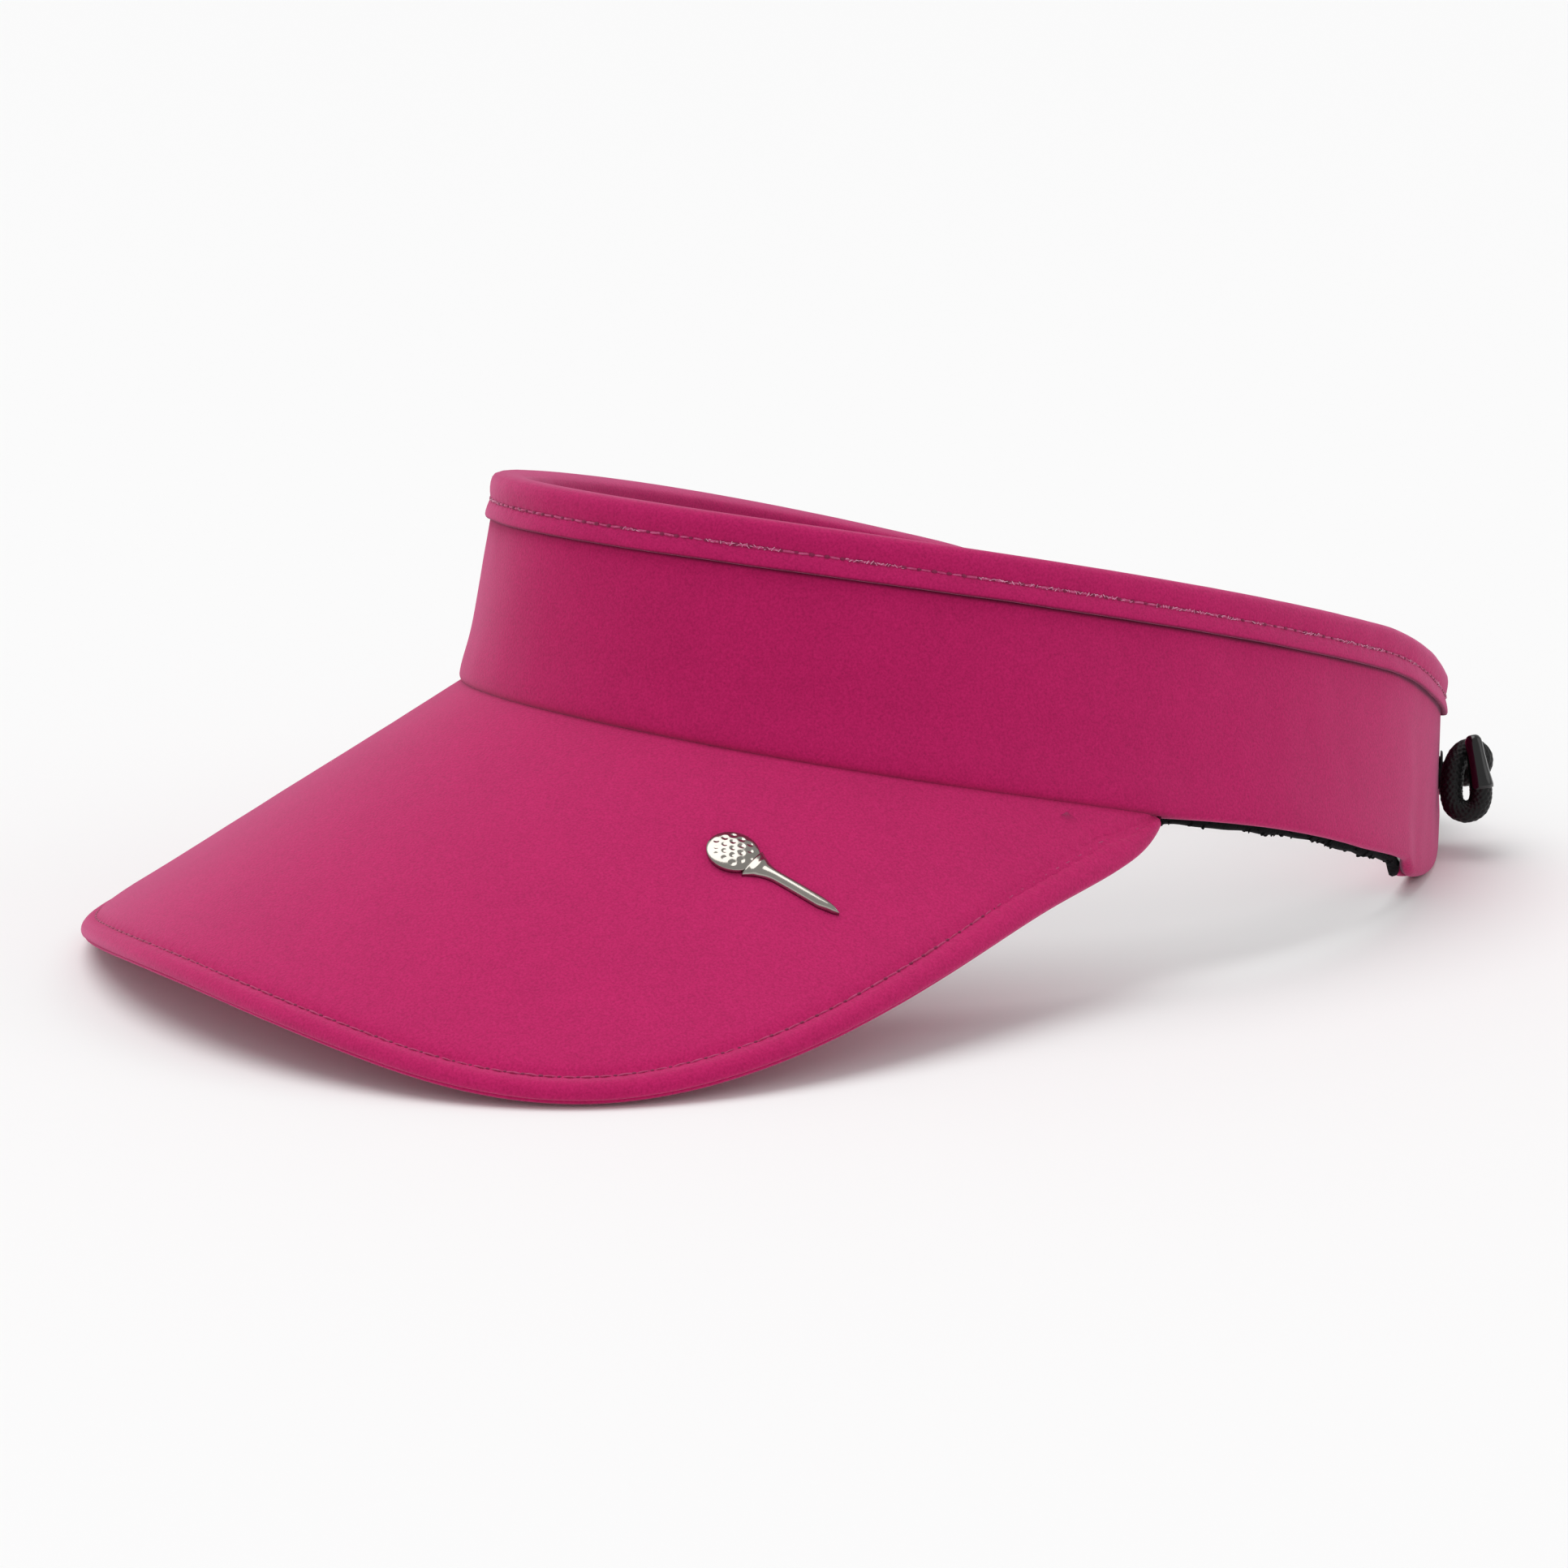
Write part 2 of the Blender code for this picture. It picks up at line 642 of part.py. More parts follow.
WALL = TERRY_IN
arm_extras = {LEFT: [], RIGHT: []}
for label, side, shell_piece, facing in (("left", LEFT, shell[1], tabs[0]), ("right", RIGHT, shell[2], tabs[1])):
    face, outward = eyelet_frame(side)
    cutter = loft("cut_eyelet_" + label,
                  disc_loops(face, -outward, ((-3.0, EYELET_BARREL + GAP), (WALL + 3.0, EYELET_BARREL + GAP)), 24),
                  STEEL, smooth=False)
    cut(shell_piece, cutter)
    cut(facing, cutter)
    top = -EYELET_SEAT - EYELET_FLANGE_THICK
    low = WALL + EYELET_SEAT + EYELET_FLANGE_THICK
    profile = (
        (top, EYELET_BORE + 0.3), (top, EYELET_FLANGE - 0.2), (top + 0.2, EYELET_FLANGE),
        (-EYELET_SEAT, EYELET_FLANGE), (-EYELET_SEAT, EYELET_BARREL), (WALL + EYELET_SEAT, EYELET_BARREL),
        (WALL + EYELET_SEAT, EYELET_FLANGE), (low - 0.2, EYELET_FLANGE), (low, EYELET_FLANGE - 0.2),
        (low, EYELET_BORE + 0.3), (low - 0.3, EYELET_BORE), (top + 0.3, EYELET_BORE),
    )
    eyelet = loft("eyelet_" + label, disc_loops(face, -outward, profile, 24), EYELET_BLACK, ring=True)

    start = np.array((COIL_START[0], side * COIL_START[1], COIL_START[2]))
    face, outward, along, up = curl_frame(side)
    path = smooth_path([
        start + np.array((5.0, side * 1.9, 0.2)),
        start + np.array((8.0, side * 5.4, 0.4)),
        face - outward * (WALL + 4.6) - along * 0.9,
        face - outward * (WALL + 2.0),
        face - outward * WALL / 2,
        face + outward * 1.9,
    ] + [face + outward * o + along * a + up * u for o, a, u in CURL], 5)
    tail = loft("cord_tail_" + label, tube_loops(path, TAIL_RADIUS, 12), CORD_BLACK)

    middle = np.array((COIL_START[0] - COIL_BULGE, side * GAP / 2, COIL_START[2] + 1.0))
    route = []
    for i in range(9):
        t = i / 8.0
        arch = 1.0 - (1.0 - t) ** 2
        route.append(np.array((start[0] + (middle[0] - start[0]) * arch,
                               start[1] + (middle[1] - start[1]) * t,
                               start[2] + (middle[2] - start[2]) * arch)))
    coil = loft("coil_" + label, tube_loops(route, COIL, 20), CORD_BLACK)

    heading = path[-1] - path[-3]
    heading /= np.linalg.norm(heading)
    tip = path[-1] + heading * 0.6
    lean = heading * 0.4 + up - outward * 0.28
    aglet_profile = ((0.0, AGLET_RADIUS + 0.1), (0.4, AGLET_RADIUS + 0.2), (AGLET_LENGTH - 1.0, AGLET_RADIUS),
                     (AGLET_LENGTH - 0.3, AGLET_RADIUS * 0.75), (AGLET_LENGTH, AGLET_RADIUS * 0.35))
    aglet = loft("aglet_" + label, disc_loops(tip, lean, aglet_profile, 16), AGLET_BLACK)
    arm_extras[side] += [eyelet, tail, coil, aglet]


# ---- hinges: the band's side arms flex open about a line just behind the brim ----
def put_on_hinge(name, side, pieces):
    low = band_point(side * HINGE, -HINGE_STAND_OFF, from_foot=0.0)
    high = band_point(side * HINGE, -HINGE_STAND_OFF, from_rim=0.0)
    hinge = bpy.data.objects.new(name, None)
    hinge.empty_display_size = 0.01
    hinge.matrix_world = Matrix.Translation((world(low) + world(high)) * 0.5)
    bpy.context.scene.collection.objects.link(hinge)
    for piece in pieces:
        piece.parent = hinge
        piece.matrix_parent_inverse = hinge.matrix_world.inverted()


put_on_hinge("left_arm_hinge", LEFT,
             [shell[1], interlining[1], sweatband[1], binding[1], tabs[0]] + arm_extras[LEFT])
put_on_hinge("right_arm_hinge", RIGHT,
             [shell[2], interlining[2], sweatband[2], binding[2], tabs[1]] + arm_extras[RIGHT])
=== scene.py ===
import math

import bmesh
import bpy
import numpy as np
from mathutils import Matrix, Vector

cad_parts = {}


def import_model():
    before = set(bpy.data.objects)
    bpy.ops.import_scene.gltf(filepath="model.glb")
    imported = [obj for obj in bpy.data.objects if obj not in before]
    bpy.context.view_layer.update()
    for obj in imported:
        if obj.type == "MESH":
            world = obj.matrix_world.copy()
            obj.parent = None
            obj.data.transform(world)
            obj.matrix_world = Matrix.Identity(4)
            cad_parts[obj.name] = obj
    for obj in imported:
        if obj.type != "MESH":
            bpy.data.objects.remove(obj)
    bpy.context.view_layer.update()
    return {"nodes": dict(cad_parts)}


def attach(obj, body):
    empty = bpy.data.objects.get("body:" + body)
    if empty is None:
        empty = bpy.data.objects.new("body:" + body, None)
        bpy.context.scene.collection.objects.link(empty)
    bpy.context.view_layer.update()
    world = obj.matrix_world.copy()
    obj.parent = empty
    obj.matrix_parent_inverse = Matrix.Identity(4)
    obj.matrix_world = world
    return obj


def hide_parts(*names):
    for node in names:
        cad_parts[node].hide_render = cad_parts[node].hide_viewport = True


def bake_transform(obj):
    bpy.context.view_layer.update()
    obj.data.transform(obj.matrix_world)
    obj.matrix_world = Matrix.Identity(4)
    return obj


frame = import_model()

# Lengths below are millimetres in the band's own frame: X forward, Y to the wearer's left, Z up.
# world() pitches them into the resting frame and turns them into metres.

# ---- sizes shared with the CAD model ----
BAND_HALF_LENGTH = 102.0
BAND_HALF_WIDTH = 80.8
OVAL_POWER = 1.94
RIM_SHIFT = 2.7
RIM_HALF_LENGTH = 103.8
RIM_HALF_WIDTH = 70.8
RIM_HEIGHT = 38.4
RIM_RISE = 25.0
RIM_FALL = 18.9
RIM_DROP = 4.2
RIM_TUCK = 1.4
BRIM_PITCH = math.radians(42.2)
BRIM_RADIUS = 92.2
BRIM_CONE = 0.006
BRIM_FLATTEN = 1.0e-7
BRIM_BOW = 1.4e-4
BRIM_CENTRE = -60.0
BRIM_REACH = (138.9, 141.1, 139.1, 113.4, 91.5, 81.3, 68.0)
BRIM_REACH_STEP = math.radians(18.0)
TEMPLE = math.radians(78.4)
SPLIT = math.radians(72.0)
TAB_START = math.radians(124.0)
BAND_END = math.radians(149.0)
CORNER_LOW = 2.7
CORNER_RISE = 14.0
EYELET_ANGLE = math.radians(144.6)
PITCH = math.radians(16.85)
ORIGIN_Y = 33.96
ORIGIN_Z = 16.86
WALL = 4.4

# ---- camera ----
AIM = (-0.0007, -0.0058, 0.0235)
DISTANCE = 0.7463
AZIMUTH = math.radians(53.995)
ELEVATION = math.radians(12.738)
ROLL = math.radians(-1.243)
LENS = 93.38


def make_camera():
    back = Vector((math.sin(AZIMUTH) * math.cos(ELEVATION), -math.cos(AZIMUTH) * math.cos(ELEVATION),
                   math.sin(ELEVATION)))
    level = Vector((0.0, 0.0, 1.0)).cross(back).normalized()
    rise = back.cross(level)
    right = level * math.cos(ROLL) + rise * math.sin(ROLL)
    up = rise * math.cos(ROLL) - level * math.sin(ROLL)
    data = bpy.data.cameras.new("camera")
    data.sensor_width = 36.0
    data.lens = LENS
    data.clip_start = 0.01
    camera = bpy.data.objects.new("camera", data)
    place = Matrix((right, up, back)).transposed().to_4x4()
    place.translation = Vector(AIM) + back * DISTANCE
    camera.matrix_world = place
    bpy.context.scene.collection.objects.link(camera)
    bpy.context.scene.camera = camera


make_camera()
bpy.context.scene.view_settings.view_transform = "Standard"


# ---- surfaces ----
def world(points):
    points = np.asarray(points, dtype=float)
    x, y, z = points[..., 0], points[..., 1], points[..., 2]
    ahead = x * math.cos(PITCH) - z * math.sin(PITCH)
    height = x * math.sin(PITCH) + z * math.cos(PITCH)
    return np.stack((y, ORIGIN_Y - ahead, height + ORIGIN_Z), axis=-1) * 0.001


def unit(vectors):
    return vectors / np.linalg.norm(vectors, axis=-1, keepdims=True)


def ease(value):
    value = np.clip(value, 0.0, 1.0)
    return value * value * (3.0 - 2.0 * value)


def brim_top(u, y):
    radius = BRIM_RADIUS * (1.0 + BRIM_CONE * u)
    sag = 0.5 * y * y / radius - BRIM_FLATTEN * y ** 4 + BRIM_BOW * np.maximum(u, 0.0) ** 2
    x = BAND_HALF_LENGTH + u * math.cos(BRIM_PITCH) - sag * math.sin(BRIM_PITCH)
    z = -u * math.sin(BRIM_PITCH) - sag * math.cos(BRIM_PITCH)
    return np.stack((x, y + 0.0 * u, z), axis=-1)


def brim_normal(u, y):
    along_u = brim_top(u + 0.5, y) - brim_top(u - 0.5, y)
    along_y = brim_top(u, y + 0.5) - brim_top(u, y - 0.5)
    return unit(np.cross(along_u, along_y))


def brim_u_at(x, y):
    u = (x - BAND_HALF_LENGTH) / math.cos(BRIM_PITCH)
    for _ in range(8):
        short = x - brim_top(u, y)[..., 0]
        u = u + short / math.cos(BRIM_PITCH)
    return u


def reach_spline():
    full = np.array(list(BRIM_REACH[:0:-1]) + list(BRIM_REACH))
    count = len(full)
    matrix = np.zeros((count, count))
    right = np.zeros(count)
    for row in range(1, count - 1):
        matrix[row, row - 1:row + 2] = (1.0, 4.0, 1.0)
        right[row] = 3.0 * (full[row + 1] - full[row - 1]) / BRIM_REACH_STEP
    matrix[0, :2] = (2.0, 1.0)
    matrix[-1, -2:] = (1.0, 2.0)
    right[0] = 3.0 * (full[1] - full[0]) / BRIM_REACH_STEP
    right[-1] = 3.0 * (full[-1] - full[-2]) / BRIM_REACH_STEP
    return full, np.linalg.solve(matrix, right)


REACH, REACH_SLOPE = reach_spline()


def brim_edge(angle):
    place = angle / BRIM_REACH_STEP + len(BRIM_REACH) - 1
    cell = np.clip(np.floor(place), 0, len(REACH) - 2).astype(int)
    t = place - cell
    reach = (1 + 2 * t) * (1 - t) ** 2 * REACH[cell] + t * t * (3 - 2 * t) * REACH[cell + 1]
    reach = reach + BRIM_REACH_STEP * t * (1 - t) ** 2 * REACH_SLOPE[cell]
    reach = reach + BRIM_REACH_STEP * t * t * (t - 1) * REACH_SLOPE[cell + 1]
    return BRIM_CENTRE + reach * np.cos(angle), reach * np.sin(angle)


def oval(phi):
    power = 2.0 / OVAL_POWER
    c, s = np.cos(phi), np.sin(phi)
    return np.sign(c) * np.abs(c) ** power, np.sign(s) * np.abs(s) ** power


def band_foot(phi):
    c, s = oval(phi)
    x, y = BAND_HALF_LENGTH * c, BAND_HALF_WIDTH * s
    front = np.where(np.abs(phi) <= TEMPLE, phi, TEMPLE)
    cf, sf = oval(front)
    xf, yf = BAND_HALF_LENGTH * cf, BAND_HALF_WIDTH * sf
    seat = brim_top(brim_u_at(xf, yf), yf)[..., 2]
    beyond = np.maximum(np.abs(phi) - TEMPLE, 0.0)
    turn = np.degrees(np.abs(phi))
    edge = seat + 12.4 * beyond - 18.6 * beyond ** 2 + 1.2 * ease((turn - 108.0) / 13.0)
    reach = np.clip(np.maximum(turn - 126.0, 0.0) / 24.0, 0.0, 0.97)
    corner = CORNER_LOW + CORNER_RISE * (1.0 - np.sqrt(1.0 - reach * reach))
    blend = ease((turn - 120.5) / 4.5)
    return np.stack((x, y, edge * (1.0 - blend) + corner * blend), axis=-1)


def band_rim(phi):
    c, s = oval(phi)
    back = (1.0 - np.cos(phi)) / 2.0
    turn = np.degrees(np.abs(phi))
    z = RIM_HEIGHT + RIM_RISE * back - RIM_FALL * back * back - RIM_DROP * ease((turn - 112.0) / 30.0)
    tuck = RIM_TUCK * ease((turn - 118.0) / 31.0)
    x = RIM_SHIFT + RIM_HALF_LENGTH * c + 0.75 * tuck
    return np.stack((x, RIM_HALF_WIDTH * s - 0.66 * tuck * np.sign(phi), z), axis=-1)


def band_normal(phi):
    side = band_rim(phi + 0.01) - band_rim(phi - 0.01)
    side[..., 2] = 0.0
    return unit(np.cross(side, band_rim(phi) - band_foot(phi)))


def band_up(phi):
    return unit(band_rim(phi) - band_foot(phi))


def wall_length(phi):
    return np.linalg.norm(band_rim(phi) - band_foot(phi), axis=-1)


def on_band(phi, out, above):
    """A point of the wall: out from its face, and above the foot along the wall."""
    return band_foot(phi) + band_up(phi) * above[..., None] + band_normal(phi) * out[..., None]


def under_rim(phi, out, below):
    return band_rim(phi) - band_up(phi) * below[..., None] + band_normal(phi) * out[..., None]


def arc_position(phi):
    """Distance round the band in millimetres, close enough for spacing stitches and puckers."""
    sweep = np.linspace(-math.pi, math.pi, 1441)
    points = band_rim(sweep)
    steps = np.concatenate(([0.0], np.cumsum(np.linalg.norm(np.diff(points, axis=0), axis=1))))
    return np.interp(phi, sweep, steps) - steps[-1] / 2.0


def waves(a, b, size, seed):
    """Smooth unevenness from -1 to 1: a sum of slow waves over two distances in millimetres."""
    rng = np.random.default_rng(seed)
    total = np.zeros(np.broadcast(a, b).shape)
    for _ in range(14):
        angle = rng.uniform(0.0, 2.0 * math.pi)
        length = size * rng.uniform(0.7, 1.7)
        phase = rng.uniform(0.0, 2.0 * math.pi)
        total = total + np.sin((a * math.cos(angle) + b * math.sin(angle)) * 2.0 * math.pi / length + phase)
    return total / 5.0


# ---- meshes ----
def grid_normals(verts):
    """Normals of a ring grid's points: the sum of the four faces round each, weighted by area."""
    beside = np.roll(verts, -1, axis=1)
    faces = np.cross(beside[1:] - verts[:-1], verts[1:] - beside[:-1])
    both = faces + np.roll(faces, 1, axis=1)
    total = np.zeros_like(verts)
    total[:-1] += both
    total[1:] += both
    return unit(total + 1e-20)


def grid_piece(name, points, material, spare=0, crease=None):
    """A closed piece: rows of rings, capped at both ends, with an optional amount of painted shade per point
    for its material.
    The first and last spare rows only guide the normals, so that neighbours meet without a line."""
    verts = world(points)
    normals = grid_normals(verts)
    kept = slice(spare, len(verts) - spare)
    verts, normals = verts[kept], normals[kept].reshape(-1, 3)
    rows, cols = verts.shape[:2]
    verts = verts.reshape(-1, 3)
    i = np.arange(rows - 1)[:, None]
    j = np.arange(cols)[None, :]
    k = (j + 1) % cols
    faces = np.stack((i * cols + j, i * cols + k, (i + 1) * cols + k, (i + 1) * cols + j), axis=-1)
    first, second = verts[faces[..., 1]] - verts[faces[..., 3]], verts[faces[..., 2]] - verts[faces[..., 0]]
    bulk = np.sum(np.cross(first, second) * verts[faces].mean(axis=-2))
    faces = faces.reshape(-1, 4).tolist()
    faces.append(list(range(cols))[::-1])
    faces.append(list(range((rows - 1) * cols, rows * cols)))
    if bulk < 0:
        faces = [face[::-1] for face in faces]
        normals = -normals
    mesh = bpy.data.meshes.new(name)
    mesh.from_pydata(verts.tolist(), [], faces)
    mesh.polygons.foreach_set("use_smooth", [True] * len(mesh.polygons))
    mesh.materials.append(material)
    # Per-point painted shade, which the fabric material turns into darkening of its colour.
    if crease is not None:
        depth = mesh.attributes.new("crease", "FLOAT", "POINT")
        depth.data.foreach_set("value", np.ascontiguousarray(crease[kept], dtype=np.float32).ravel())
    if spare:
        mesh.normals_split_custom_set_from_vertices(normals.tolist())
    piece = bpy.data.objects.new(name, mesh)
    bpy.context.scene.collection.objects.link(piece)
    return piece


def join_pieces(name, pieces):
    """One object from several, keeping their materials."""
    work = bmesh.new()
    materials = []
    for piece in pieces:
        start = len(work.faces)
        work.from_mesh(piece.data)
        work.faces.ensure_lookup_table()
        for material in piece.data.materials:
            if material not in materials:
                materials.append(material)
        slots = [materials.index(m) for m in piece.data.materials]
        for face in work.faces[start:]:
            face.material_index = slots[face.material_index] if slots else 0
    mesh = bpy.data.meshes.new(name)
    work.to_mesh(mesh)
    work.free()
    for material in materials:
        mesh.materials.append(material)
    joined = bpy.data.objects.new(name, mesh)
    bpy.context.scene.collection.objects.link(joined)
    for piece in pieces:
        old = piece.data
        bpy.data.objects.remove(piece)
        bpy.data.meshes.remove(old)
    return joined


# ---- materials ----
def linear(code):
    """A linear colour from a web colour code."""
    values = [int(code[i:i + 2], 16) / 255.0 for i in (1, 3, 5)]
    return tuple(v / 12.92 if v <= 0.04045 else ((v + 0.055) / 1.055) ** 2.4 for v in values) + (1.0,)


def put(tree, kind, inputs=None, **settings):
    """Adds a node, sets its settings, and sets or links its inputs."""
    node = tree.nodes.new(kind)
    for key, value in settings.items():
        setattr(node, key, value)
    for key, value in (inputs or {}).items():
        socket = node.inputs[key]
        if isinstance(value, bpy.types.NodeSocket):
            tree.links.new(value, socket)
        else:
            socket.default_value = value
    return node


def new_material(name):
    material = bpy.data.materials.new(name)
    material.use_nodes = True
    return material, material.node_tree, material.node_tree.nodes["Principled BSDF"]


def set_shader(tree, shader, **inputs):
    for key, value in inputs.items():
        socket = shader.inputs[key.replace("_", " ")]
        if isinstance(value, bpy.types.NodeSocket):
            tree.links.new(value, socket)
        else:
            socket.default_value = value


def ramp(tree, factor, stops):
    node = put(tree, "ShaderNodeValToRGB", {"Fac": factor})
    points = node.color_ramp.elements
    while len(points) < len(stops):
        points.new(0.5)
    for point, (place, colour) in zip(points, stops):
        point.position = place
        point.color = colour
    return node.outputs["Color"]


def mixed(tree, factor, a, b, mode="MIX"):
    node = put(tree, "ShaderNodeMix", data_type="RGBA", blend_type=mode)
    for socket, value in ((node.inputs[0], factor), (node.inputs[6], a), (node.inputs[7], b)):
        if isinstance(value, bpy.types.NodeSocket):
            tree.links.new(value, socket)
        else:
            socket.default_value = value
    return node.outputs[2]


def noise(tree, vector, size_mm, detail=2.0, roughness=0.5):
    """Noise whose blobs are about size_mm across, on coordinates in metres."""
    node = put(tree, "ShaderNodeTexNoise",
               {"Vector": vector, "Scale": 1000.0 / size_mm, "Detail": detail, "Roughness": roughness})
    return node.outputs["Fac"]


def brushed_fabric(name, base, dark, light):
    """Matt crepe with a short soft nap: a fine grain, little mottling and a pale sheen at its edges,
    darkened with painted shade where the mesh asks for it.
    """
    material, tree, shader = new_material(name)
    where = put(tree, "ShaderNodeTexCoord").outputs["Object"]
    cloud = noise(tree, where, 14.0, 2.0)
    patch = noise(tree, where, 2.2, 3.0, 0.6)
    grain = noise(tree, where, 0.42, 2.0, 0.65)
    tone = ramp(tree, grain, ((0.28, linear(dark)), (0.5, linear(base)), (0.74, linear(light))))
    faint = ramp(tree, patch, ((0.30, (0.97, 0.97, 0.97, 1.0)), (0.70, (1.03, 1.03, 1.03, 1.0))))
    broad = ramp(tree, cloud, ((0.30, (0.97, 0.97, 0.97, 1.0)), (0.70, (1.02, 1.02, 1.02, 1.0))))
    even = mixed(tree, 1.0, mixed(tree, 1.0, tone, faint, "MULTIPLY"), broad, "MULTIPLY")
    # Painted shade: the colour is pulled towards dark maroon by the mesh's per-point shade amount, standing
    # in for shadow in creases and seams.
    painted_shade_factor = put(tree, "ShaderNodeAttribute", attribute_name="crease").outputs["Fac"]
    colour = mixed(tree, painted_shade_factor, even, linear("#3d0018"))
    nap = put(tree, "ShaderNodeBump", {"Height": grain, "Strength": 0.55, "Distance": 0.00014})
    set_shader(tree, shader, Base_Color=colour, Normal=nap.outputs["Normal"], Roughness=0.95,
               Specular_IOR_Level=0.08, Sheen_Weight=0.5, Sheen_Roughness=0.5,
               Sheen_Tint=linear("#ffb8dd"))
    return material


def thread_material(name, base, light):
    """Sewing thread, slightly glossy, in two close tones."""
    material, tree, shader = new_material(name)
    where = put(tree, "ShaderNodeTexCoord").outputs["Object"]
    tone = noise(tree, where, 1.2, 3.0, 0.7)
    colour = ramp(tree, tone, ((0.35, linear(base)), (0.7, linear(light))))
    twist = put(tree, "ShaderNodeBump", {"Height": noise(tree, where, 0.12), "Strength": 0.3,
                                         "Distance": 0.0001})
    set_shader(tree, shader, Base_Color=colour, Normal=twist.outputs["Normal"], Roughness=0.6,
               Specular_IOR_Level=0.35, Sheen_Weight=0.3, Sheen_Roughness=0.4)
    return material


def terry_material():
    """Black towelling: soft loops with a faint cool sheen."""
    material, tree, shader = new_material("terry_towelling")
    where = put(tree, "ShaderNodeTexCoord").outputs["Object"]
    tone = noise(tree, where, 1.5, 4.0, 0.7)
    colour = ramp(tree, tone, ((0.3, linear("#060607")), (0.75, linear("#141416"))))
    nap = put(tree, "ShaderNodeBump", {"Height": noise(tree, where, 0.5, 3.0, 0.7), "Strength": 0.6,
                                       "Distance": 0.0004})
    set_shader(tree, shader, Base_Color=colour, Normal=nap.outputs["Normal"], Roughness=0.95,
               Specular_IOR_Level=0.12, Sheen_Weight=0.12, Sheen_Roughness=0.5,
               Sheen_Tint=linear("#8a8a90"))
    return material


def cord_material():
    """Black braided elastic: fine yarns across each strand, with small dull highlights."""
    material, tree, shader = new_material("braided_elastic_cord")
    where = put(tree, "ShaderNodeTexCoord").outputs["Object"]
    fibre = noise(tree, where, 0.25, 3.0, 0.7)
    colour = ramp(tree, fibre, ((0.3, linear("#020203")), (0.75, linear("#0c0c0d"))))
    bump = put(tree, "ShaderNodeBump", {"Height": fibre, "Strength": 0.5, "Distance": 0.0002})
    set_shader(tree, shader, Base_Color=colour, Normal=bump.outputs["Normal"], Roughness=0.36,
               Specular_IOR_Level=0.3)
    return material


def plain_material(name, code, metallic, roughness, bump_mm, bump_strength, coat=0.0):
    """A moulded, plated or lacquered surface with slight unevenness of gloss."""
    material, tree, shader = new_material(name)
    where = put(tree, "ShaderNodeTexCoord").outputs["Object"]
    wear = noise(tree, where, bump_mm * 6.0, 4.0, 0.6)
    base = linear(code)
    darker = tuple(v * 0.85 for v in base[:3]) + (1.0,)
    colour = ramp(tree, wear, ((0.3, darker), (0.7, base)))
    gloss = put(tree, "ShaderNodeMapRange", {"Value": wear, "From Min": 0.3, "From Max": 0.7,
                                             "To Min": roughness * 0.8, "To Max": roughness * 1.3})
    bump = put(tree, "ShaderNodeBump", {"Height": noise(tree, where, bump_mm), "Strength": bump_strength,
                                        "Distance": 0.0001})
    set_shader(tree, shader, Base_Color=colour, Metallic=metallic, Roughness=gloss.outputs["Result"],
               Normal=bump.outputs["Normal"], Coat_Weight=coat, Coat_Roughness=0.05)
    return material


BAND_CLOTH = brushed_fabric("band_cloth", "#b9195e", "#a71555", "#c42067")
BRIM_CLOTH = brushed_fabric("brim_cloth", "#bd1b60", "#ac1657", "#c8226a")
BINDING_CLOTH = brushed_fabric("binding_cloth", "#b91a5f", "#a61555", "#c42168")
PINK_THREAD = thread_material("pink_thread", "#b42c68", "#cf5e92")
FRAYED_THREAD = thread_material("frayed_pale_thread", "#d57fa8", "#f2b6d0")
BRIM_THREAD = thread_material("brim_thread", "#a81f58", "#bf4078")
# Small dark discs between the stitches: painted shade in the needle holes.
NEEDLE_HOLE_SHADE = thread_material("needle_hole_shadow", "#7d0f42", "#8c164e")
TERRY = terry_material()
CORD_CLOTH = cord_material()
AGLET_PLASTIC = plain_material("aglet_plastic", "#040304", 0.0, 0.12, 0.6, 0.08, coat=0.2)
EYELET_LACQUER = plain_material("eyelet_lacquer", "#131214", 0.6, 0.3, 0.5, 0.1)
NICKEL = plain_material("polished_nickel", "#a9a49d", 1.0, 0.14, 1.2, 0.10)
PIN_STEEL = plain_material("pin_steel", "#9a9a9a", 1.0, 0.35, 0.4, 0.2)
FELT = plain_material("stiffening_felt", "#dedcd6", 0.0, 0.9, 0.4, 0.5)
BOARD = plain_material("brim_board", "#b9b9bb", 0.0, 0.6, 0.5, 0.3)


# ---- repeated detail, made with node trees ----
def interface(tree, entries):
    for name, kind, value in entries:
        socket = tree.interface.new_socket(name=name, in_out="INPUT", socket_type=kind)
        if value is not None:
            socket.default_value = value
    tree.interface.new_socket(name="Geometry", in_out="OUTPUT", socket_type="NodeSocketGeometry")


def scaled(tree, value, factor):
    return put(tree, "ShaderNodeMath", {0: value, 1: factor}, operation="MULTIPLY").outputs[0]


def turned_at_random(tree, rotation, low, high, seed):
    """A rotation with a seeded random turn added about its own axes."""
    jitter = put(tree, "FunctionNodeRandomValue", {0: low, 1: high, "Seed": seed}, data_type="FLOAT_VECTOR")
    euler = put(tree, "FunctionNodeEulerToRotation", {"Euler": jitter.outputs[0]})
    turned = put(tree, "FunctionNodeRotateRotation",
                 {"Rotation": rotation, "Rotate By": euler.outputs["Rotation"]}, rotation_space="LOCAL")
    return turned.outputs["Rotation"]


def end_tree(tree, placed, material):
    """Makes the instances real and smooth, and gives them their material."""
    real = put(tree, "GeometryNodeRealizeInstances", {"Geometry": placed.outputs["Instances"]})
    smooth = put(tree, "GeometryNodeSetShadeSmooth", {"Geometry": real.outputs["Geometry"]})
    painted = put(tree, "GeometryNodeSetMaterial", {"Geometry": smooth.outputs["Geometry"],
                                                    "Material": material})
    put(tree, "NodeGroupOutput", {"Geometry": painted.outputs["Geometry"]})


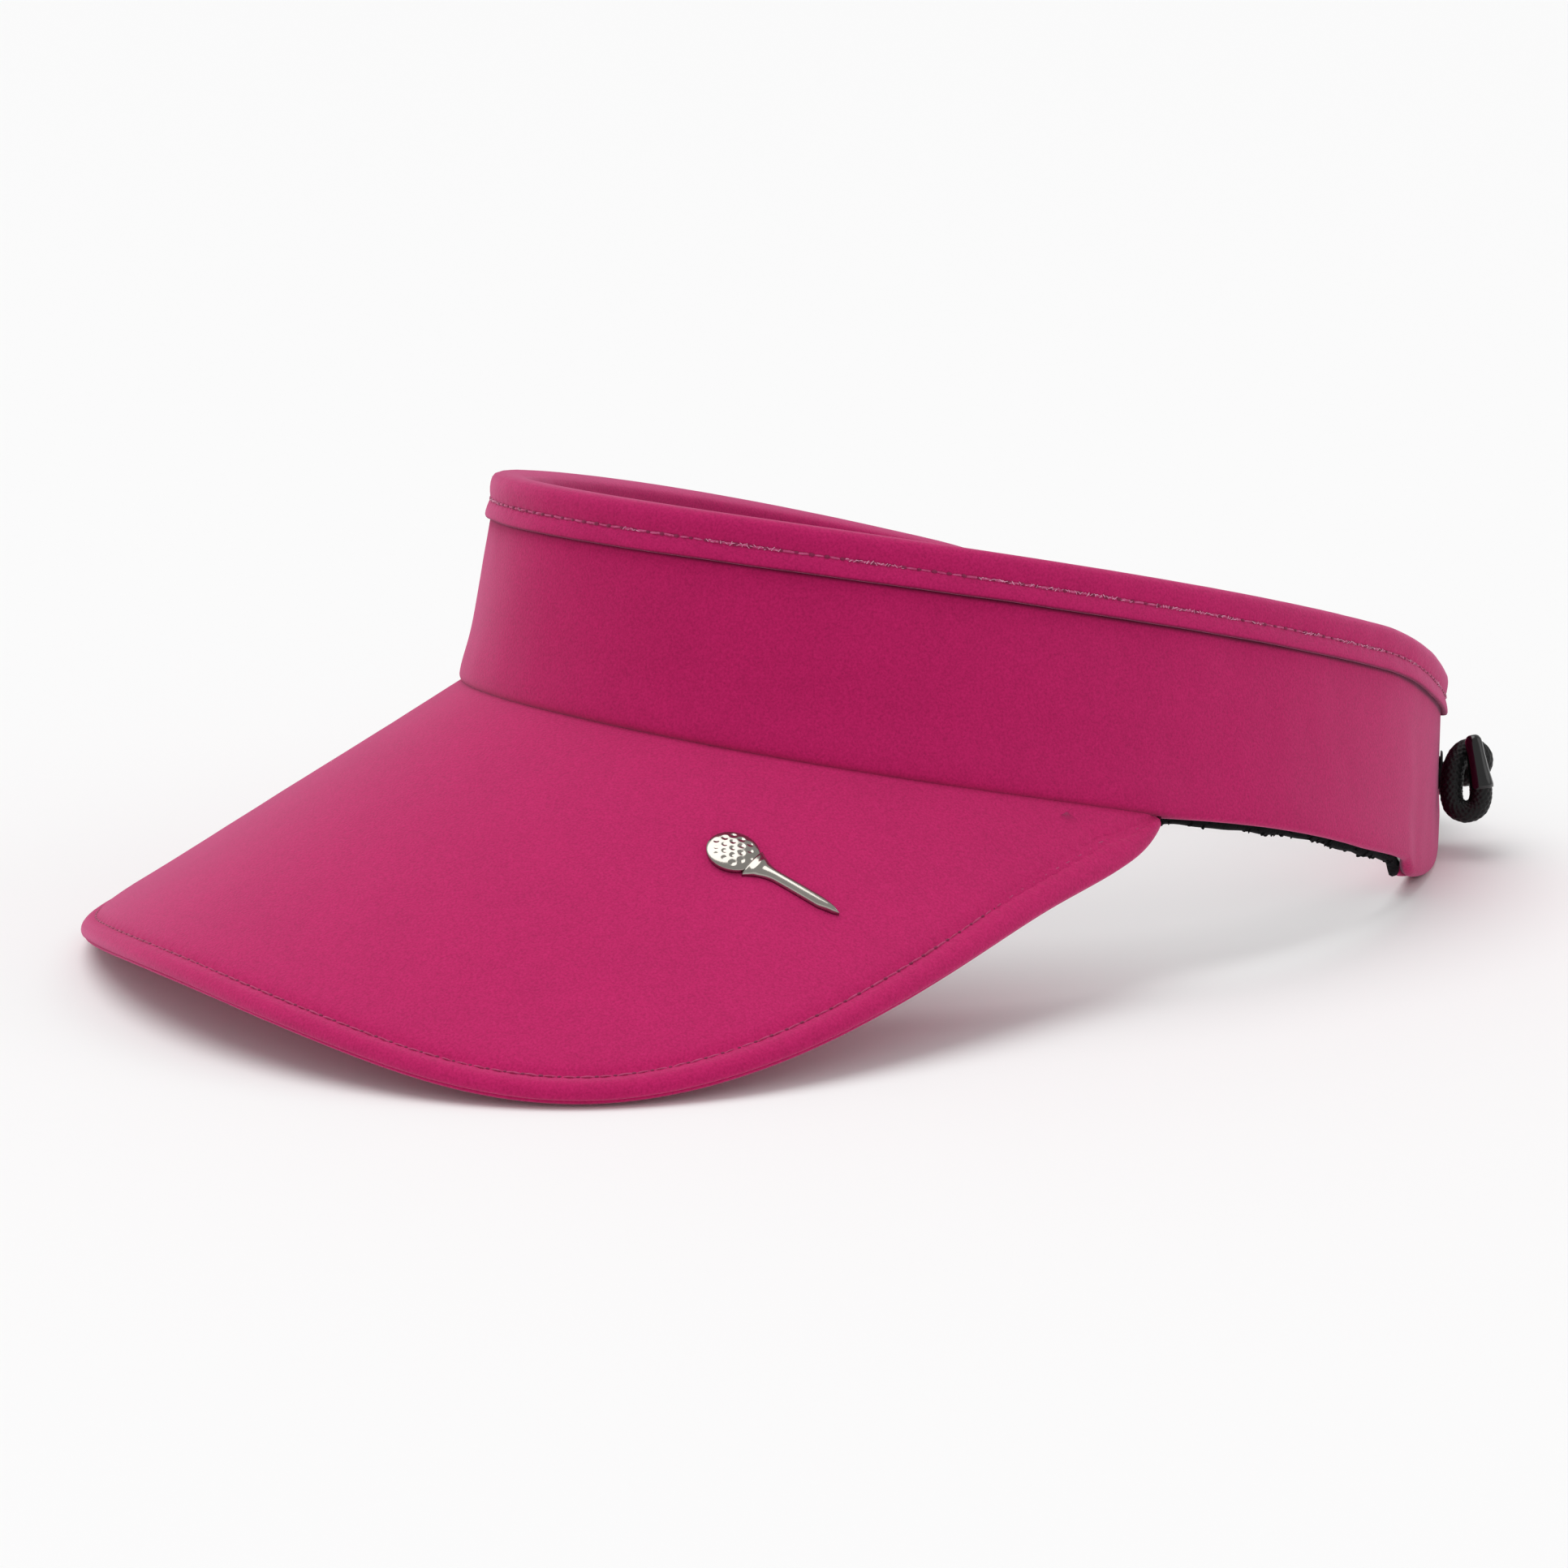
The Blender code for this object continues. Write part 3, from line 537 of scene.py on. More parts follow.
def stitch_tree():
    """Arched bits of thread along a rail that carries its outward direction."""
    tree = bpy.data.node_groups.new("stitch_row", "GeometryNodeTree")
    interface(tree, (
        ("Geometry", "NodeSocketGeometry", None),
        ("Spacing", "NodeSocketFloat", 0.0025),
        ("Length", "NodeSocketFloat", 0.002),
        ("Thickness", "NodeSocketFloat", 0.0004),
        ("Arch", "NodeSocketFloat", 0.0003),
        ("Sink", "NodeSocketFloat", 0.0003),
        ("Turn", "NodeSocketFloat", 0.1),
        ("Ahead", "NodeSocketFloat", 0.0),
        ("Share", "NodeSocketFloat", 0.0),
        ("Seed", "NodeSocketInt", 1),
        ("Material", "NodeSocketMaterial", None),
    ))
    given = put(tree, "NodeGroupInput").outputs
    rail = put(tree, "GeometryNodeMeshToCurve", {"Mesh": given["Geometry"]})
    even = put(tree, "GeometryNodeResampleCurve", {"Curve": rail.outputs["Curve"],
                                                   "Length": given["Spacing"]}, mode="LENGTH")
    half = scaled(tree, given["Length"], 0.5)
    minus = scaled(tree, half, -1.0)
    down = scaled(tree, given["Sink"], -1.0)
    rise = scaled(tree, given["Arch"], 2.0)
    start = put(tree, "ShaderNodeCombineXYZ", {"X": minus, "Z": down}).outputs[0]
    middle = put(tree, "ShaderNodeCombineXYZ", {"Z": rise}).outputs[0]
    end = put(tree, "ShaderNodeCombineXYZ", {"X": half, "Z": down}).outputs[0]
    arch = put(tree, "GeometryNodeCurveQuadraticBezier",
               {"Resolution": 6, "Start": start, "Middle": middle, "End": end})
    radius = scaled(tree, given["Thickness"], 0.5)
    ring = put(tree, "GeometryNodeCurvePrimitiveCircle", {"Resolution": 6, "Radius": radius}, mode="RADIUS")
    bit = put(tree, "GeometryNodeCurveToMesh", {"Curve": arch.outputs["Curve"],
                                                "Profile Curve": ring.outputs["Curve"], "Fill Caps": True})
    outward = put(tree, "GeometryNodeInputNamedAttribute", {"Name": "outward"}, data_type="FLOAT_VECTOR")
    tangent = put(tree, "GeometryNodeInputTangent").outputs["Tangent"]
    ahead = put(tree, "ShaderNodeVectorMath", {0: tangent}, operation="SCALE")
    tree.links.new(given["Ahead"], ahead.inputs["Scale"])
    moved = put(tree, "GeometryNodeSetPosition", {"Geometry": even.outputs["Curve"],
                                                  "Offset": ahead.outputs[0]})
    facing = put(tree, "FunctionNodeAxesToRotation",
                 {"Primary Axis": outward.outputs["Attribute"], "Secondary Axis": tangent},
                 primary_axis="Z", secondary_axis="X")
    low = scaled(tree, given["Turn"], -1.0)
    low3 = put(tree, "ShaderNodeCombineXYZ", {"X": low, "Y": low, "Z": low}).outputs[0]
    high3 = put(tree, "ShaderNodeCombineXYZ", {"X": given["Turn"], "Y": given["Turn"],
                                               "Z": given["Turn"]}).outputs[0]
    turned = turned_at_random(tree, facing.outputs["Rotation"], low3, high3, given["Seed"])
    sizes = put(tree, "FunctionNodeRandomValue", {2: 0.8, 3: 1.15, "Seed": given["Seed"]}, data_type="FLOAT")
    position = put(tree, "GeometryNodeInputPosition").outputs["Position"]
    clumps = put(tree, "ShaderNodeTexNoise", {"Vector": position, "Scale": 110.0, "Detail": 1.0})
    chosen = put(tree, "FunctionNodeCompare", {0: clumps.outputs["Fac"], 1: given["Share"]},
                 data_type="FLOAT", operation="GREATER_THAN")
    placed = put(tree, "GeometryNodeInstanceOnPoints",
                 {"Points": moved.outputs["Geometry"], "Instance": bit.outputs["Mesh"],
                  "Selection": chosen.outputs["Result"],
                  "Rotation": turned, "Scale": sizes.outputs[1]})
    end_tree(tree, placed, given["Material"])
    return tree


def pile_tree():
    """Small leaning loops of yarn scattered over a surface."""
    tree = bpy.data.node_groups.new("towelling_pile", "GeometryNodeTree")
    interface(tree, (
        ("Geometry", "NodeSocketGeometry", None),
        ("Per Square Metre", "NodeSocketFloat", 400000.0),
        ("Height", "NodeSocketFloat", 0.0012),
        ("Width", "NodeSocketFloat", 0.0009),
        ("Thickness", "NodeSocketFloat", 0.0004),
        ("Lean", "NodeSocketFloat", 0.6),
        ("Seed", "NodeSocketInt", 1),
        ("Material", "NodeSocketMaterial", None),
    ))
    given = put(tree, "NodeGroupInput").outputs
    spots = put(tree, "GeometryNodeDistributePointsOnFaces",
                {"Mesh": given["Geometry"], "Density": given["Per Square Metre"], "Seed": given["Seed"]})
    half = scaled(tree, given["Width"], 0.5)
    minus = scaled(tree, half, -1.0)
    rise = scaled(tree, given["Height"], 2.0)
    start = put(tree, "ShaderNodeCombineXYZ", {"X": minus, "Z": -0.0003}).outputs[0]
    middle = put(tree, "ShaderNodeCombineXYZ", {"Y": half, "Z": rise}).outputs[0]
    end = put(tree, "ShaderNodeCombineXYZ", {"X": half, "Z": -0.0003}).outputs[0]
    arch = put(tree, "GeometryNodeCurveQuadraticBezier",
               {"Resolution": 5, "Start": start, "Middle": middle, "End": end})
    radius = scaled(tree, given["Thickness"], 0.5)
    ring = put(tree, "GeometryNodeCurvePrimitiveCircle", {"Resolution": 3, "Radius": radius}, mode="RADIUS")
    loop = put(tree, "GeometryNodeCurveToMesh", {"Curve": arch.outputs["Curve"],
                                                 "Profile Curve": ring.outputs["Curve"]})
    low3 = put(tree, "ShaderNodeVectorMath", {0: (-1.0, -1.0, 0.0)}, operation="SCALE")
    tree.links.new(given["Lean"], low3.inputs["Scale"])
    high3 = put(tree, "ShaderNodeVectorMath", {0: (1.0, 1.0, 0.0)}, operation="SCALE")
    tree.links.new(given["Lean"], high3.inputs["Scale"])
    spun = put(tree, "ShaderNodeVectorMath", {0: high3.outputs[0], 1: (0.0, 0.0, 6.2832)}, operation="ADD")
    turned = turned_at_random(tree, spots.outputs["Rotation"], low3.outputs[0], spun.outputs[0],
                              given["Seed"])
    sizes = put(tree, "FunctionNodeRandomValue", {2: 0.7, 3: 1.35, "Seed": given["Seed"]}, data_type="FLOAT")
    placed = put(tree, "GeometryNodeInstanceOnPoints",
                 {"Points": spots.outputs["Points"], "Instance": loop.outputs["Mesh"],
                  "Rotation": turned, "Scale": sizes.outputs[1]})
    end_tree(tree, placed, given["Material"])
    return tree


STITCHES = stitch_tree()
PILE = pile_tree()


def grown(name, source, tree, **inputs):
    """The finished mesh of a node tree run on a source object, which is then removed."""
    modifier = source.modifiers.new("detail", "NODES")
    modifier.node_group = tree
    for item in tree.interface.items_tree:
        key = item.name.replace(" ", "_")
        if item.in_out == "INPUT" and key in inputs:
            modifier[item.identifier] = inputs[key]
    bpy.context.view_layer.update()
    ready = source.evaluated_get(bpy.context.evaluated_depsgraph_get())
    mesh = bpy.data.meshes.new_from_object(ready)
    mesh.name = name
    piece = bpy.data.objects.new(name, mesh)
    bpy.context.scene.collection.objects.link(piece)
    bpy.data.objects.remove(source)
    return piece


def rail_object(points, outward):
    """A line of edges that carries its outward direction."""
    mesh = bpy.data.meshes.new("rail")
    mesh.from_pydata(world(points).tolist(), [(i, i + 1) for i in range(len(points) - 1)], [])
    turned = world(points + outward) - world(points)
    turned = unit(turned)
    attribute = mesh.attributes.new("outward", "FLOAT_VECTOR", "POINT")
    attribute.data.foreach_set("vector", turned.ravel())
    rail = bpy.data.objects.new("rail", mesh)
    bpy.context.scene.collection.objects.link(rail)
    return rail


# ---- riding ----
def crossing(side):
    """Two points on one side's wall, 74 and 97 degrees round from the front and 20 mm above the foot."""
    points = []
    for turn in (74.0, 97.0):
        phi = np.array(side * math.radians(turn))
        points.append(tuple(world(on_band(phi, np.array(0.0), np.array(20.0)))))
    return points


def settle(piece, part, nodes=()):
    """Rides a front piece on the front body; part is front, left or right, and a left or right piece only
    has its place baked into its mesh.
    """
    if part == "front":
        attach(piece, "front")
    else:
        start, end = crossing(1.0 if part == "left" else -1.0)
        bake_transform(piece)
        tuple(start)
        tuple(end)
    if nodes:
        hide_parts(*nodes)


PARTS = (("front", -SPLIT, SPLIT), ("left", SPLIT, BAND_END), ("right", -BAND_END, -SPLIT))


SPARE = 2


def stations(start, end, step_degrees, spare=0):
    """Angles round the band, with spare ones past each end."""
    count = int(round(abs(end - start) / math.radians(step_degrees)))
    step = (end - start) / count
    return start + step * np.arange(-spare, count + 1 + spare)


# ---- band cloth ----
def edge_roll(distance, radius):
    """How far cloth has turned inward near a folded edge."""
    near = np.clip(distance, 0.0, radius)
    return radius - np.sqrt(np.maximum(radius ** 2 - (radius - near) ** 2, 0.0))


def end_distance(phi):
    """Distance along the band to its nearest cut end, in millimetres."""
    return (BAND_END - np.abs(phi)) * 78.0


BAND_ROWS = (0.0, 0.04, 0.12, 0.25, 0.4, 0.6, 0.85, 1.15, 1.5, 2.0, 2.6, 3.3, 4.2, 5.2, 6.4, 8.0)


def band_cloth(part, start, end):
    """The band's outer cloth: bulging above the brim, rolled under at its foot and its cut end."""
    phi = stations(start, end, 0.4, SPARE)
    length = wall_length(phi)
    rows = [np.full_like(phi, s) for s in BAND_ROWS]
    rows += [8.0 + (length - 19.6) * t for t in np.linspace(0.0, 1.0, 16)[1:]]
    rows += [length - below for below in (10.6, 10.1, 9.7, 9.4, 9.1, 8.85, 8.6, 8.3, 7.6, 5.5, 3.0)]
    above = np.stack(rows, axis=1)
    angle = phi[:, None] + 0.0 * above
    around = arc_position(angle)
    turn = np.degrees(np.abs(angle))
    tab = ease((turn - 119.0) / 4.0)
    seated = 1.0 - ease((turn - 76.0) / 6.0)
    radius = 1.0 + 0.7 * seated + 0.5 * tab
    nearest = np.minimum(above, np.where(tab > 0.01, end_distance(angle), 99.0))
    puff = (0.35 + 0.4 * seated) * np.exp(-((above - 2.6) / 5.0) ** 2)
    uneven = 0.10 * waves(around, above, 30.0, 3) + 0.03 * waves(around, above, 8.0, 4)
    out = puff - edge_roll(nearest, radius) + uneven * ease(above / 5.0)
    inner = -0.75 - 1.4 * tab[:, :1]
    back = [on_band(phi[:, None], inner, above[:, -1:]), on_band(phi[:, None], inner, 0.5 + 0.0 * inner)]
    points = np.concatenate([on_band(angle, out, above)] + back, axis=1)
    # Painted shade: a dark line in the groove under the binding's lip and along the band's foot on the brim,
    # and the hidden inner rows painted fully dark.
    lip_gap = np.maximum(length[:, None] - above - 8.3, 0.0)
    crease = 0.85 * np.exp(-(lip_gap / 0.4) ** 2) + 0.7 * seated * np.exp(-(above / 0.7) ** 2)
    crease = np.concatenate((crease, np.ones((len(phi), 2))), axis=1)
    piece = grid_piece("band_" + part, points, BAND_CLOTH, spare=SPARE, crease=crease)
    settle(piece, part, ("band_shell_" + part,))


for part, start, end in PARTS:
    band_cloth(part, start, end)


# ---- end facings: the band's ends are faced inside with the same cloth ----
def end_facing(label, side):
    phi = side * stations(TAB_START - 0.01, BAND_END, 0.5)
    length = wall_length(phi)
    rows = [np.full_like(phi, s) for s in (0.0, 0.15, 0.35, 0.6, 1.0, 1.5, 2.2, 3.2, 5.0)]
    rows += [5.0 + (length - 3.0 - 5.0) * t for t in np.linspace(0.0, 1.0, 14)[1:]]
    above = np.stack(rows, axis=1)
    angle = phi[:, None] + 0.0 * above
    around = arc_position(angle)
    first = (np.abs(angle) - TAB_START + 0.01) * 78.0
    nearest = np.minimum(np.minimum(above, end_distance(angle)), first + 0.4)
    out = -WALL - 0.15 + edge_roll(nearest, 1.5) + 0.08 * waves(around, above, 14.0, 7)
    face = on_band(angle, out, above)
    back = [on_band(phi[:, None], np.full((len(phi), 1), -2.35), above[:, -1:]),
            on_band(phi[:, None], np.full((len(phi), 1), -2.35), np.full((len(phi), 1), 0.2))]
    piece = grid_piece("end_facing_cloth_" + label, np.concatenate([face] + back, axis=1), BAND_CLOTH)
    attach(piece, label + "_arm")
    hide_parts("end_facing_" + label)


end_facing("left", 1.0)
end_facing("right", -1.0)


# ---- top binding ----
BINDING_SECTION = (
    (0.10, 7.5), (0.40, 8.05), (0.75, 8.32), (1.05, 8.25), (1.22, 7.9), (1.22, 7.3), (1.12, 6.6),
    (0.98, 6.0),
    (0.84, 5.55), (0.66, 5.2), (0.60, 5.0), (0.66, 4.8), (0.84, 4.4), (1.0, 3.8), (1.14, 3.0), (1.18, 2.1),
    (1.02, 1.2), (0.62, 0.5), (-0.1, 0.1), (-1.0, -0.05), (-2.2, -0.08), (-3.4, -0.02), (-4.4, 0.15),
    (-5.1, 0.55), (-5.55, 1.3), (-5.7, 2.3), (-5.6, 3.5), (-5.4, 4.4), (-5.2, 5.0), (-5.35, 5.6),
    (-5.55, 6.6),
    (-5.6, 7.6), (-5.4, 8.2), (-5.0, 8.3), (-4.75, 7.8),
)
STITCH_PITCH = 2.6
THREAD_WORK = (
    {"both": True, "inputs": dict(
        Spacing=STITCH_PITCH * 0.001, Length=0.0021, Thickness=0.00036, Arch=0.00024, Sink=0.0002, Turn=0.08,
        Ahead=0.0, Share=0.0, Seed=5, Material=PINK_THREAD)},
    # Dark discs between the stitches: painted shade in the needle holes.
    {"both": True, "inputs": dict(
        Spacing=STITCH_PITCH * 0.001, Length=0.0006, Thickness=0.0005, Arch=0.00008, Sink=0.0001, Turn=0.1,
        Ahead=STITCH_PITCH * 0.0005, Share=0.0, Seed=6, Material=NEEDLE_HOLE_SHADE)},
    {"both": False, "inputs": dict(
        Spacing=0.0006, Length=0.0009, Thickness=0.00013, Arch=0.0003, Sink=0.0001, Turn=1.1, Ahead=0.0,
        Share=0.52, Seed=21, Material=FRAYED_THREAD)},
)


def top_binding(part, start, end):
    phi = stations(start, end, 0.22, SPARE)
    section = np.array(BINDING_SECTION)
    out = np.broadcast_to(section[:, 0], (len(phi), len(section))).copy()
    below = np.broadcast_to(section[:, 1], out.shape).copy()
    angle = phi[:, None] + 0.0 * out
    around = arc_position(angle)
    stitched = np.exp(-((below - 5.0) / 0.9) ** 2)
    lip = np.exp(-((below - 8.1) / 1.3) ** 2)
    pull = np.cos(around * 2.0 * math.pi / STITCH_PITCH)
    facing = np.where(out > -2.5, 1.0, -1.0)
    swell = 0.05 * waves(around, below, 12.0, 11) + 0.02 * waves(around, below, 4.0, 12)
    out = out + facing * (0.04 * stitched * pull + swell)
    below = below + lip * 0.05 * waves(around, 0.0 * below, 18.0, 13)
    closing = np.clip(end_distance(angle) / 1.6, 0.0, 1.0)
    squeeze = np.sqrt(np.maximum(1.0 - (1.0 - closing) ** 2, 0.02))
    out = -2.2 + (out + 2.2) * squeeze
    points = under_rim(angle, out, below)
    # Painted shade along the underside of the binding's lower lip.
    crease = 0.7 * ease((section[:, 1] - 7.9) / 0.3) * (section[:, 0] > 0.0) * (section[:, 0] < 1.1)
    crease = np.broadcast_to(crease, out.shape)
    piece = grid_piece("binding_" + part, points, BINDING_CLOTH, spare=SPARE, crease=crease)
    settle(piece, part, ("top_binding_" + part,))

    pieces = []
    for direction, height in ((1.0, 0.64), (-1.0, -5.25)):
        for kind in THREAD_WORK:
            if kind["both"] or direction > 0:
                rail_phi = stations(start, end, 0.5)
                line = under_rim(rail_phi, np.full_like(rail_phi, height), np.full_like(rail_phi, 5.0))
                rail = rail_object(line, band_normal(rail_phi) * direction)
                pieces.append(grown("thread", rail, STITCHES, **kind["inputs"]))
    thread = join_pieces("binding_thread_" + part, pieces)
    settle(thread, part)


for part, start, end in PARTS:
    top_binding(part, start, end)


# ---- terry sweatband ----
def sweatband(part, start, end):
    limit = TAB_START - 0.01
    start, end = max(start, -limit), min(end, limit)
    phi = stations(start, end, 0.8)
    length = wall_length(phi)
    blend = ease((np.abs(phi) - TEMPLE + 0.20) / 0.20)
    drop = 5.0 * (1.0 - blend) + (0.75 + 0.3 * waves(arc_position(phi), 0.0 * phi, 9.0, 33)) * blend
    count = 26
    inner_out = -2.45
    inner_in = -WALL - 0.1
    points = []
    for i, angle in enumerate(phi):
        base = -drop[i]
        top = length[i] - 4.0
        line = [(inner_out, top), (inner_out, top * 0.5), (inner_out, base + 1.0),
                (inner_out - 0.3, base + 0.3),
                ((inner_out + inner_in) / 2, base), (inner_in + 0.3, base + 0.3), (inner_in, base + 1.0)]
        line += [(inner_in, base + 1.0 + (top - base - 1.0) * t) for t in np.linspace(0.0, 1.0, count)[1:]]
        points.append(line)
    points = np.array(points)
    angle = phi[:, None] + 0.0 * points[..., 0]
    around = arc_position(angle)
    soft = 0.12 * waves(around, points[..., 1], 11.0, 31)
    inward = points[..., 0] < -3.0
    out = points[..., 0] - np.where(inward, soft, 0.0)
    above = points[..., 1]
    shape = on_band(angle, out, np.maximum(above, 0.0))
    hang = np.minimum(above, 0.0)
    shape[..., 2] += hang
    base = grid_piece("sweatband_base", shape, TERRY)
    copy = bpy.data.objects.new("pile_source", base.data.copy())
    bpy.context.scene.collection.objects.link(copy)
    loops = grown("pile", copy, PILE, Per_Square_Metre=250000.0, Height=0.00028, Width=0.0008,
                  Thickness=0.0005, Lean=0.35, Seed=41, Material=TERRY)
    piece = join_pieces("sweatband_towelling_" + part, [base, loops])
    settle(piece, part, ("sweatband_" + part,))


for part, start, end in PARTS:
    sweatband(part, start, end)


# ---- brim ----
def brim_frame(share):
    """Outer edge, inward direction, and inner edge under the band, for shares from -1 to 1."""
    angle = share * BRIM_END
    u, y = brim_edge(angle)
    ahead = np.stack(brim_edge(angle + 0.004), axis=-1)
    behind = np.stack(brim_edge(angle - 0.004), axis=-1)
    along = unit(ahead - behind)
    inward = np.stack((-along[..., 1], along[..., 0]), axis=-1)
    phi = share * BAND_AT_END
    inner = band_foot(phi) - band_normal(phi) * 1.7
    inner_u = brim_u_at(inner[..., 0], inner[..., 1])
    return np.stack((u, y), axis=-1), inward, np.stack((inner_u, inner[..., 1]), axis=-1)


def find_brim_end():
    angles = np.radians(np.arange(70.0, 104.0, 0.25))
    points = brim_top(*brim_edge(angles))
    ring = (np.abs(points[:, 0]) / BAND_HALF_LENGTH) ** OVAL_POWER
    ring = ring + (points[:, 1] / BAND_HALF_WIDTH) ** OVAL_POWER
    angle = angles[np.argmax(ring < 1.0)] - math.radians(1.0)
    point = brim_top(*brim_edge(angle))
    return angle, math.atan2(point[1] / BAND_HALF_WIDTH, point[0] / BAND_HALF_LENGTH)


BRIM_END, BAND_AT_END = find_brim_end()
BRIM_STITCH_INSET = 3.7
COVER_THICK = 0.55
BRIM_STITCH_PITCH = 2.9


def brim_sheet(name, section, interior_height, seed, material, node):
    """A brim cover: an even sheet inside, then a section of inset and height pairs round the edge."""
    share = np.linspace(-1.0, 1.0, 601)
    edge, inward, inner = brim_frame(share)
    width = np.linalg.norm(edge - inner, axis=-1)
    fit = np.clip(width / 11.0, 0.12, 1.0)
    section = np.array(section)
    first = edge + inward * (section[0, 0] * fit)[:, None]
    columns = []
    heights = []
    steps = 46
    for i in range(steps):
        t = i / steps
        columns.append(inner + (first - inner) * t)
        heights.append(np.full(len(share), interior_height + (section[0, 1] - interior_height) * t ** 6))
    for inset, height in section:
        columns.append(edge + inward * (inset * fit)[:, None])
        heights.append(np.full(len(share), height))
    plan = np.stack(columns, axis=1)
    height = np.stack(heights, axis=1)
    u, y = plan[..., 0], plan[..., 1]
    sign = 1.0 if interior_height > -1.0 else -1.0
    steps_along = np.cumsum(np.concatenate(([0.0], np.linalg.norm(np.diff(edge, axis=0), axis=1))))
    along = np.broadcast_to(steps_along[:, None], u.shape)
    distance = np.concatenate((np.full(steps, 99.0), section[:, 0]))[None, :]
    pucker = np.exp(-((distance - BRIM_STITCH_INSET) / 1.2) ** 2)
    height = height + sign * pucker * 0.05 * np.cos(along * 2.0 * math.pi / BRIM_STITCH_PITCH)
    height = height + sign * (0.08 * waves(u, y, 40.0, seed) + 0.015 * waves(u, y, 9.0, seed + 1))
    points = brim_top(u, y) + brim_normal(u, y) * height[..., None]
    hidden = np.stack([inner + (plan[:, -1] - inner) * t for t in np.linspace(1.0, 0.0, 9)[1:]], axis=1)
    inside = interior_height - sign * COVER_THICK
    points = np.concatenate((points, brim_top(hidden[..., 0], hidden[..., 1])
                             + brim_normal(hidden[..., 0], hidden[..., 1]) * inside), axis=1)
    piece = grid_piece(name, points, material)
    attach(piece, "front")
    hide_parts(node)
    return piece


TOP_SECTION = (
    (9.0, 0.30), (7.0, 0.26), (5.8, 0.18), (5.0, 0.04), (4.4, -0.18), (4.0, -0.34), (3.7, -0.40),
    (3.4, -0.33),
    (3.0, -0.16), (2.5, 0.02), (2.0, 0.06), (1.5, -0.02), (1.0, -0.22), (0.6, -0.50), (0.3, -0.85),
    (0.1, -1.25), (0.05, -1.62), (0.20, -1.88), (0.6, -2.00), (1.4, -2.02),
)
UNDER_SECTION = (
    (9.0, -3.80), (7.0, -3.78), (5.8, -3.72), (5.0, -3.60), (4.4, -3.42), (4.0, -3.28), (3.7, -3.22),
    (3.4, -3.28), (3.0, -3.42), (2.4, -3.56), (1.8, -3.58), (1.2, -3.48), (0.7, -3.24), (0.35, -2.90),
    (0.2, -2.50), (0.3, -2.18), (0.6, -2.02), (1.4, -1.96),
)
brim_sheet("brim_upper_cloth", TOP_SECTION, 0.35, 51, BRIM_CLOTH, "brim_top_cover")
brim_sheet("brim_under_cloth", UNDER_SECTION, -3.85, 61, BRIM_CLOTH, "brim_bottom_cover")


def brim_stitches():
    pieces = []
    share = np.linspace(-0.985, 0.985, 420)
    # The second kind of bit is a small dark disc between stitches: painted shade in the needle holes.
    for ahead, length, thick, arch, material in ((0.0, 0.0024, 0.00036, 0.00016, BRIM_THREAD),
                                                 (0.00145, 0.0005, 0.0005, 0.00006, NEEDLE_HOLE_SHADE)):
        edge, inward, inner = brim_frame(share)
        width = np.linalg.norm(edge - inner, axis=-1)
        fit = np.clip(width / 11.0, 0.12, 1.0)
        plan = edge + inward * (BRIM_STITCH_INSET * fit)[:, None]
        u, y = plan[:, 0], plan[:, 1]
        normal = brim_normal(u, y)
        for height, facing in ((-0.38, 1.0), (-3.24, -1.0)):
            rail = rail_object(brim_top(u, y) + normal * height, normal * facing)
            pieces.append(grown("stitch", rail, STITCHES, Spacing=BRIM_STITCH_PITCH * 0.001, Length=length,
                                Thickness=thick, Arch=arch, Sink=0.0002, Turn=0.08, Ahead=ahead, Share=0.0,
                                Seed=71, Material=material))
    thread = join_pieces("brim_thread", pieces)
    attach(thread, "front")


brim_stitches()


# ---- cords ----
BRAID_STRANDS = 12.0
BRAID_SLOPE = 0.9


def transport(points):
    """Side and up directions along a path that turn as little as possible."""
    tangent = unit(np.gradient(points, axis=0))
    side = np.cross(tangent[0], (0.0, 0.0, 1.0))
    if np.linalg.norm(side) < 0.2:
        side = np.cross(tangent[0], (1.0, 0.0, 0.0))
    sides = []
    for t in tangent:
        side = side - t * np.dot(side, t)
        side = side / np.linalg.norm(side)
        sides.append(side)
    sides = np.array(sides)
    return tangent, sides, np.cross(tangent, sides)


def even_path(points, step):
    """The same path with its points one step apart, and how far along it each lies."""
    gaps = np.linalg.norm(np.diff(points, axis=0), axis=1)
    run = np.concatenate(([0.0], np.cumsum(gaps)))
    wanted = np.linspace(0.0, run[-1], int(run[-1] / step) + 1)
    return np.stack([np.interp(wanted, run, points[:, k]) for k in range(3)], axis=-1), wanted


def braided(name, path, radius, material, step=0.2, sides=56):
    """A round braid: two crossing sets of strands raised on a tube."""
    points, run = even_path(path, step)
    _, side, other = transport(points)
    theta = np.linspace(0.0, 2.0 * math.pi, sides, endpoint=False)[None, :]
    along = run[:, None]
    rate = BRAID_SLOPE * BRAID_STRANDS / radius
    one = np.abs(np.cos((BRAID_STRANDS * theta + rate * along) / 2.0))
    two = np.abs(np.cos((BRAID_STRANDS * theta - rate * along) / 2.0))
    over = 0.5 + 0.5 * np.sin(BRAID_STRANDS * theta) * np.sin(rate * along)
    lift = np.maximum(one * (0.7 + 0.3 * over), two * (1.0 - 0.3 * over))
    size = radius * (0.80 + 0.21 * lift)
    ring = np.cos(theta)[..., None] * side[:, None, :] + np.sin(theta)[..., None] * other[:, None, :]
    return grid_piece(name, points[:, None, :] + ring * size[..., None], material)


CORD_RADIUS = 2.25
COIL_X = -86.0
COIL_Y = 29.5
COIL_Z = 22.6
COIL_BULGE = 3.0
COIL_TURN_RADIUS = 6.0
COIL_PITCH = 4.9
COIL_SAG = 1.0
COIL_END_TURN = math.radians(80.0)
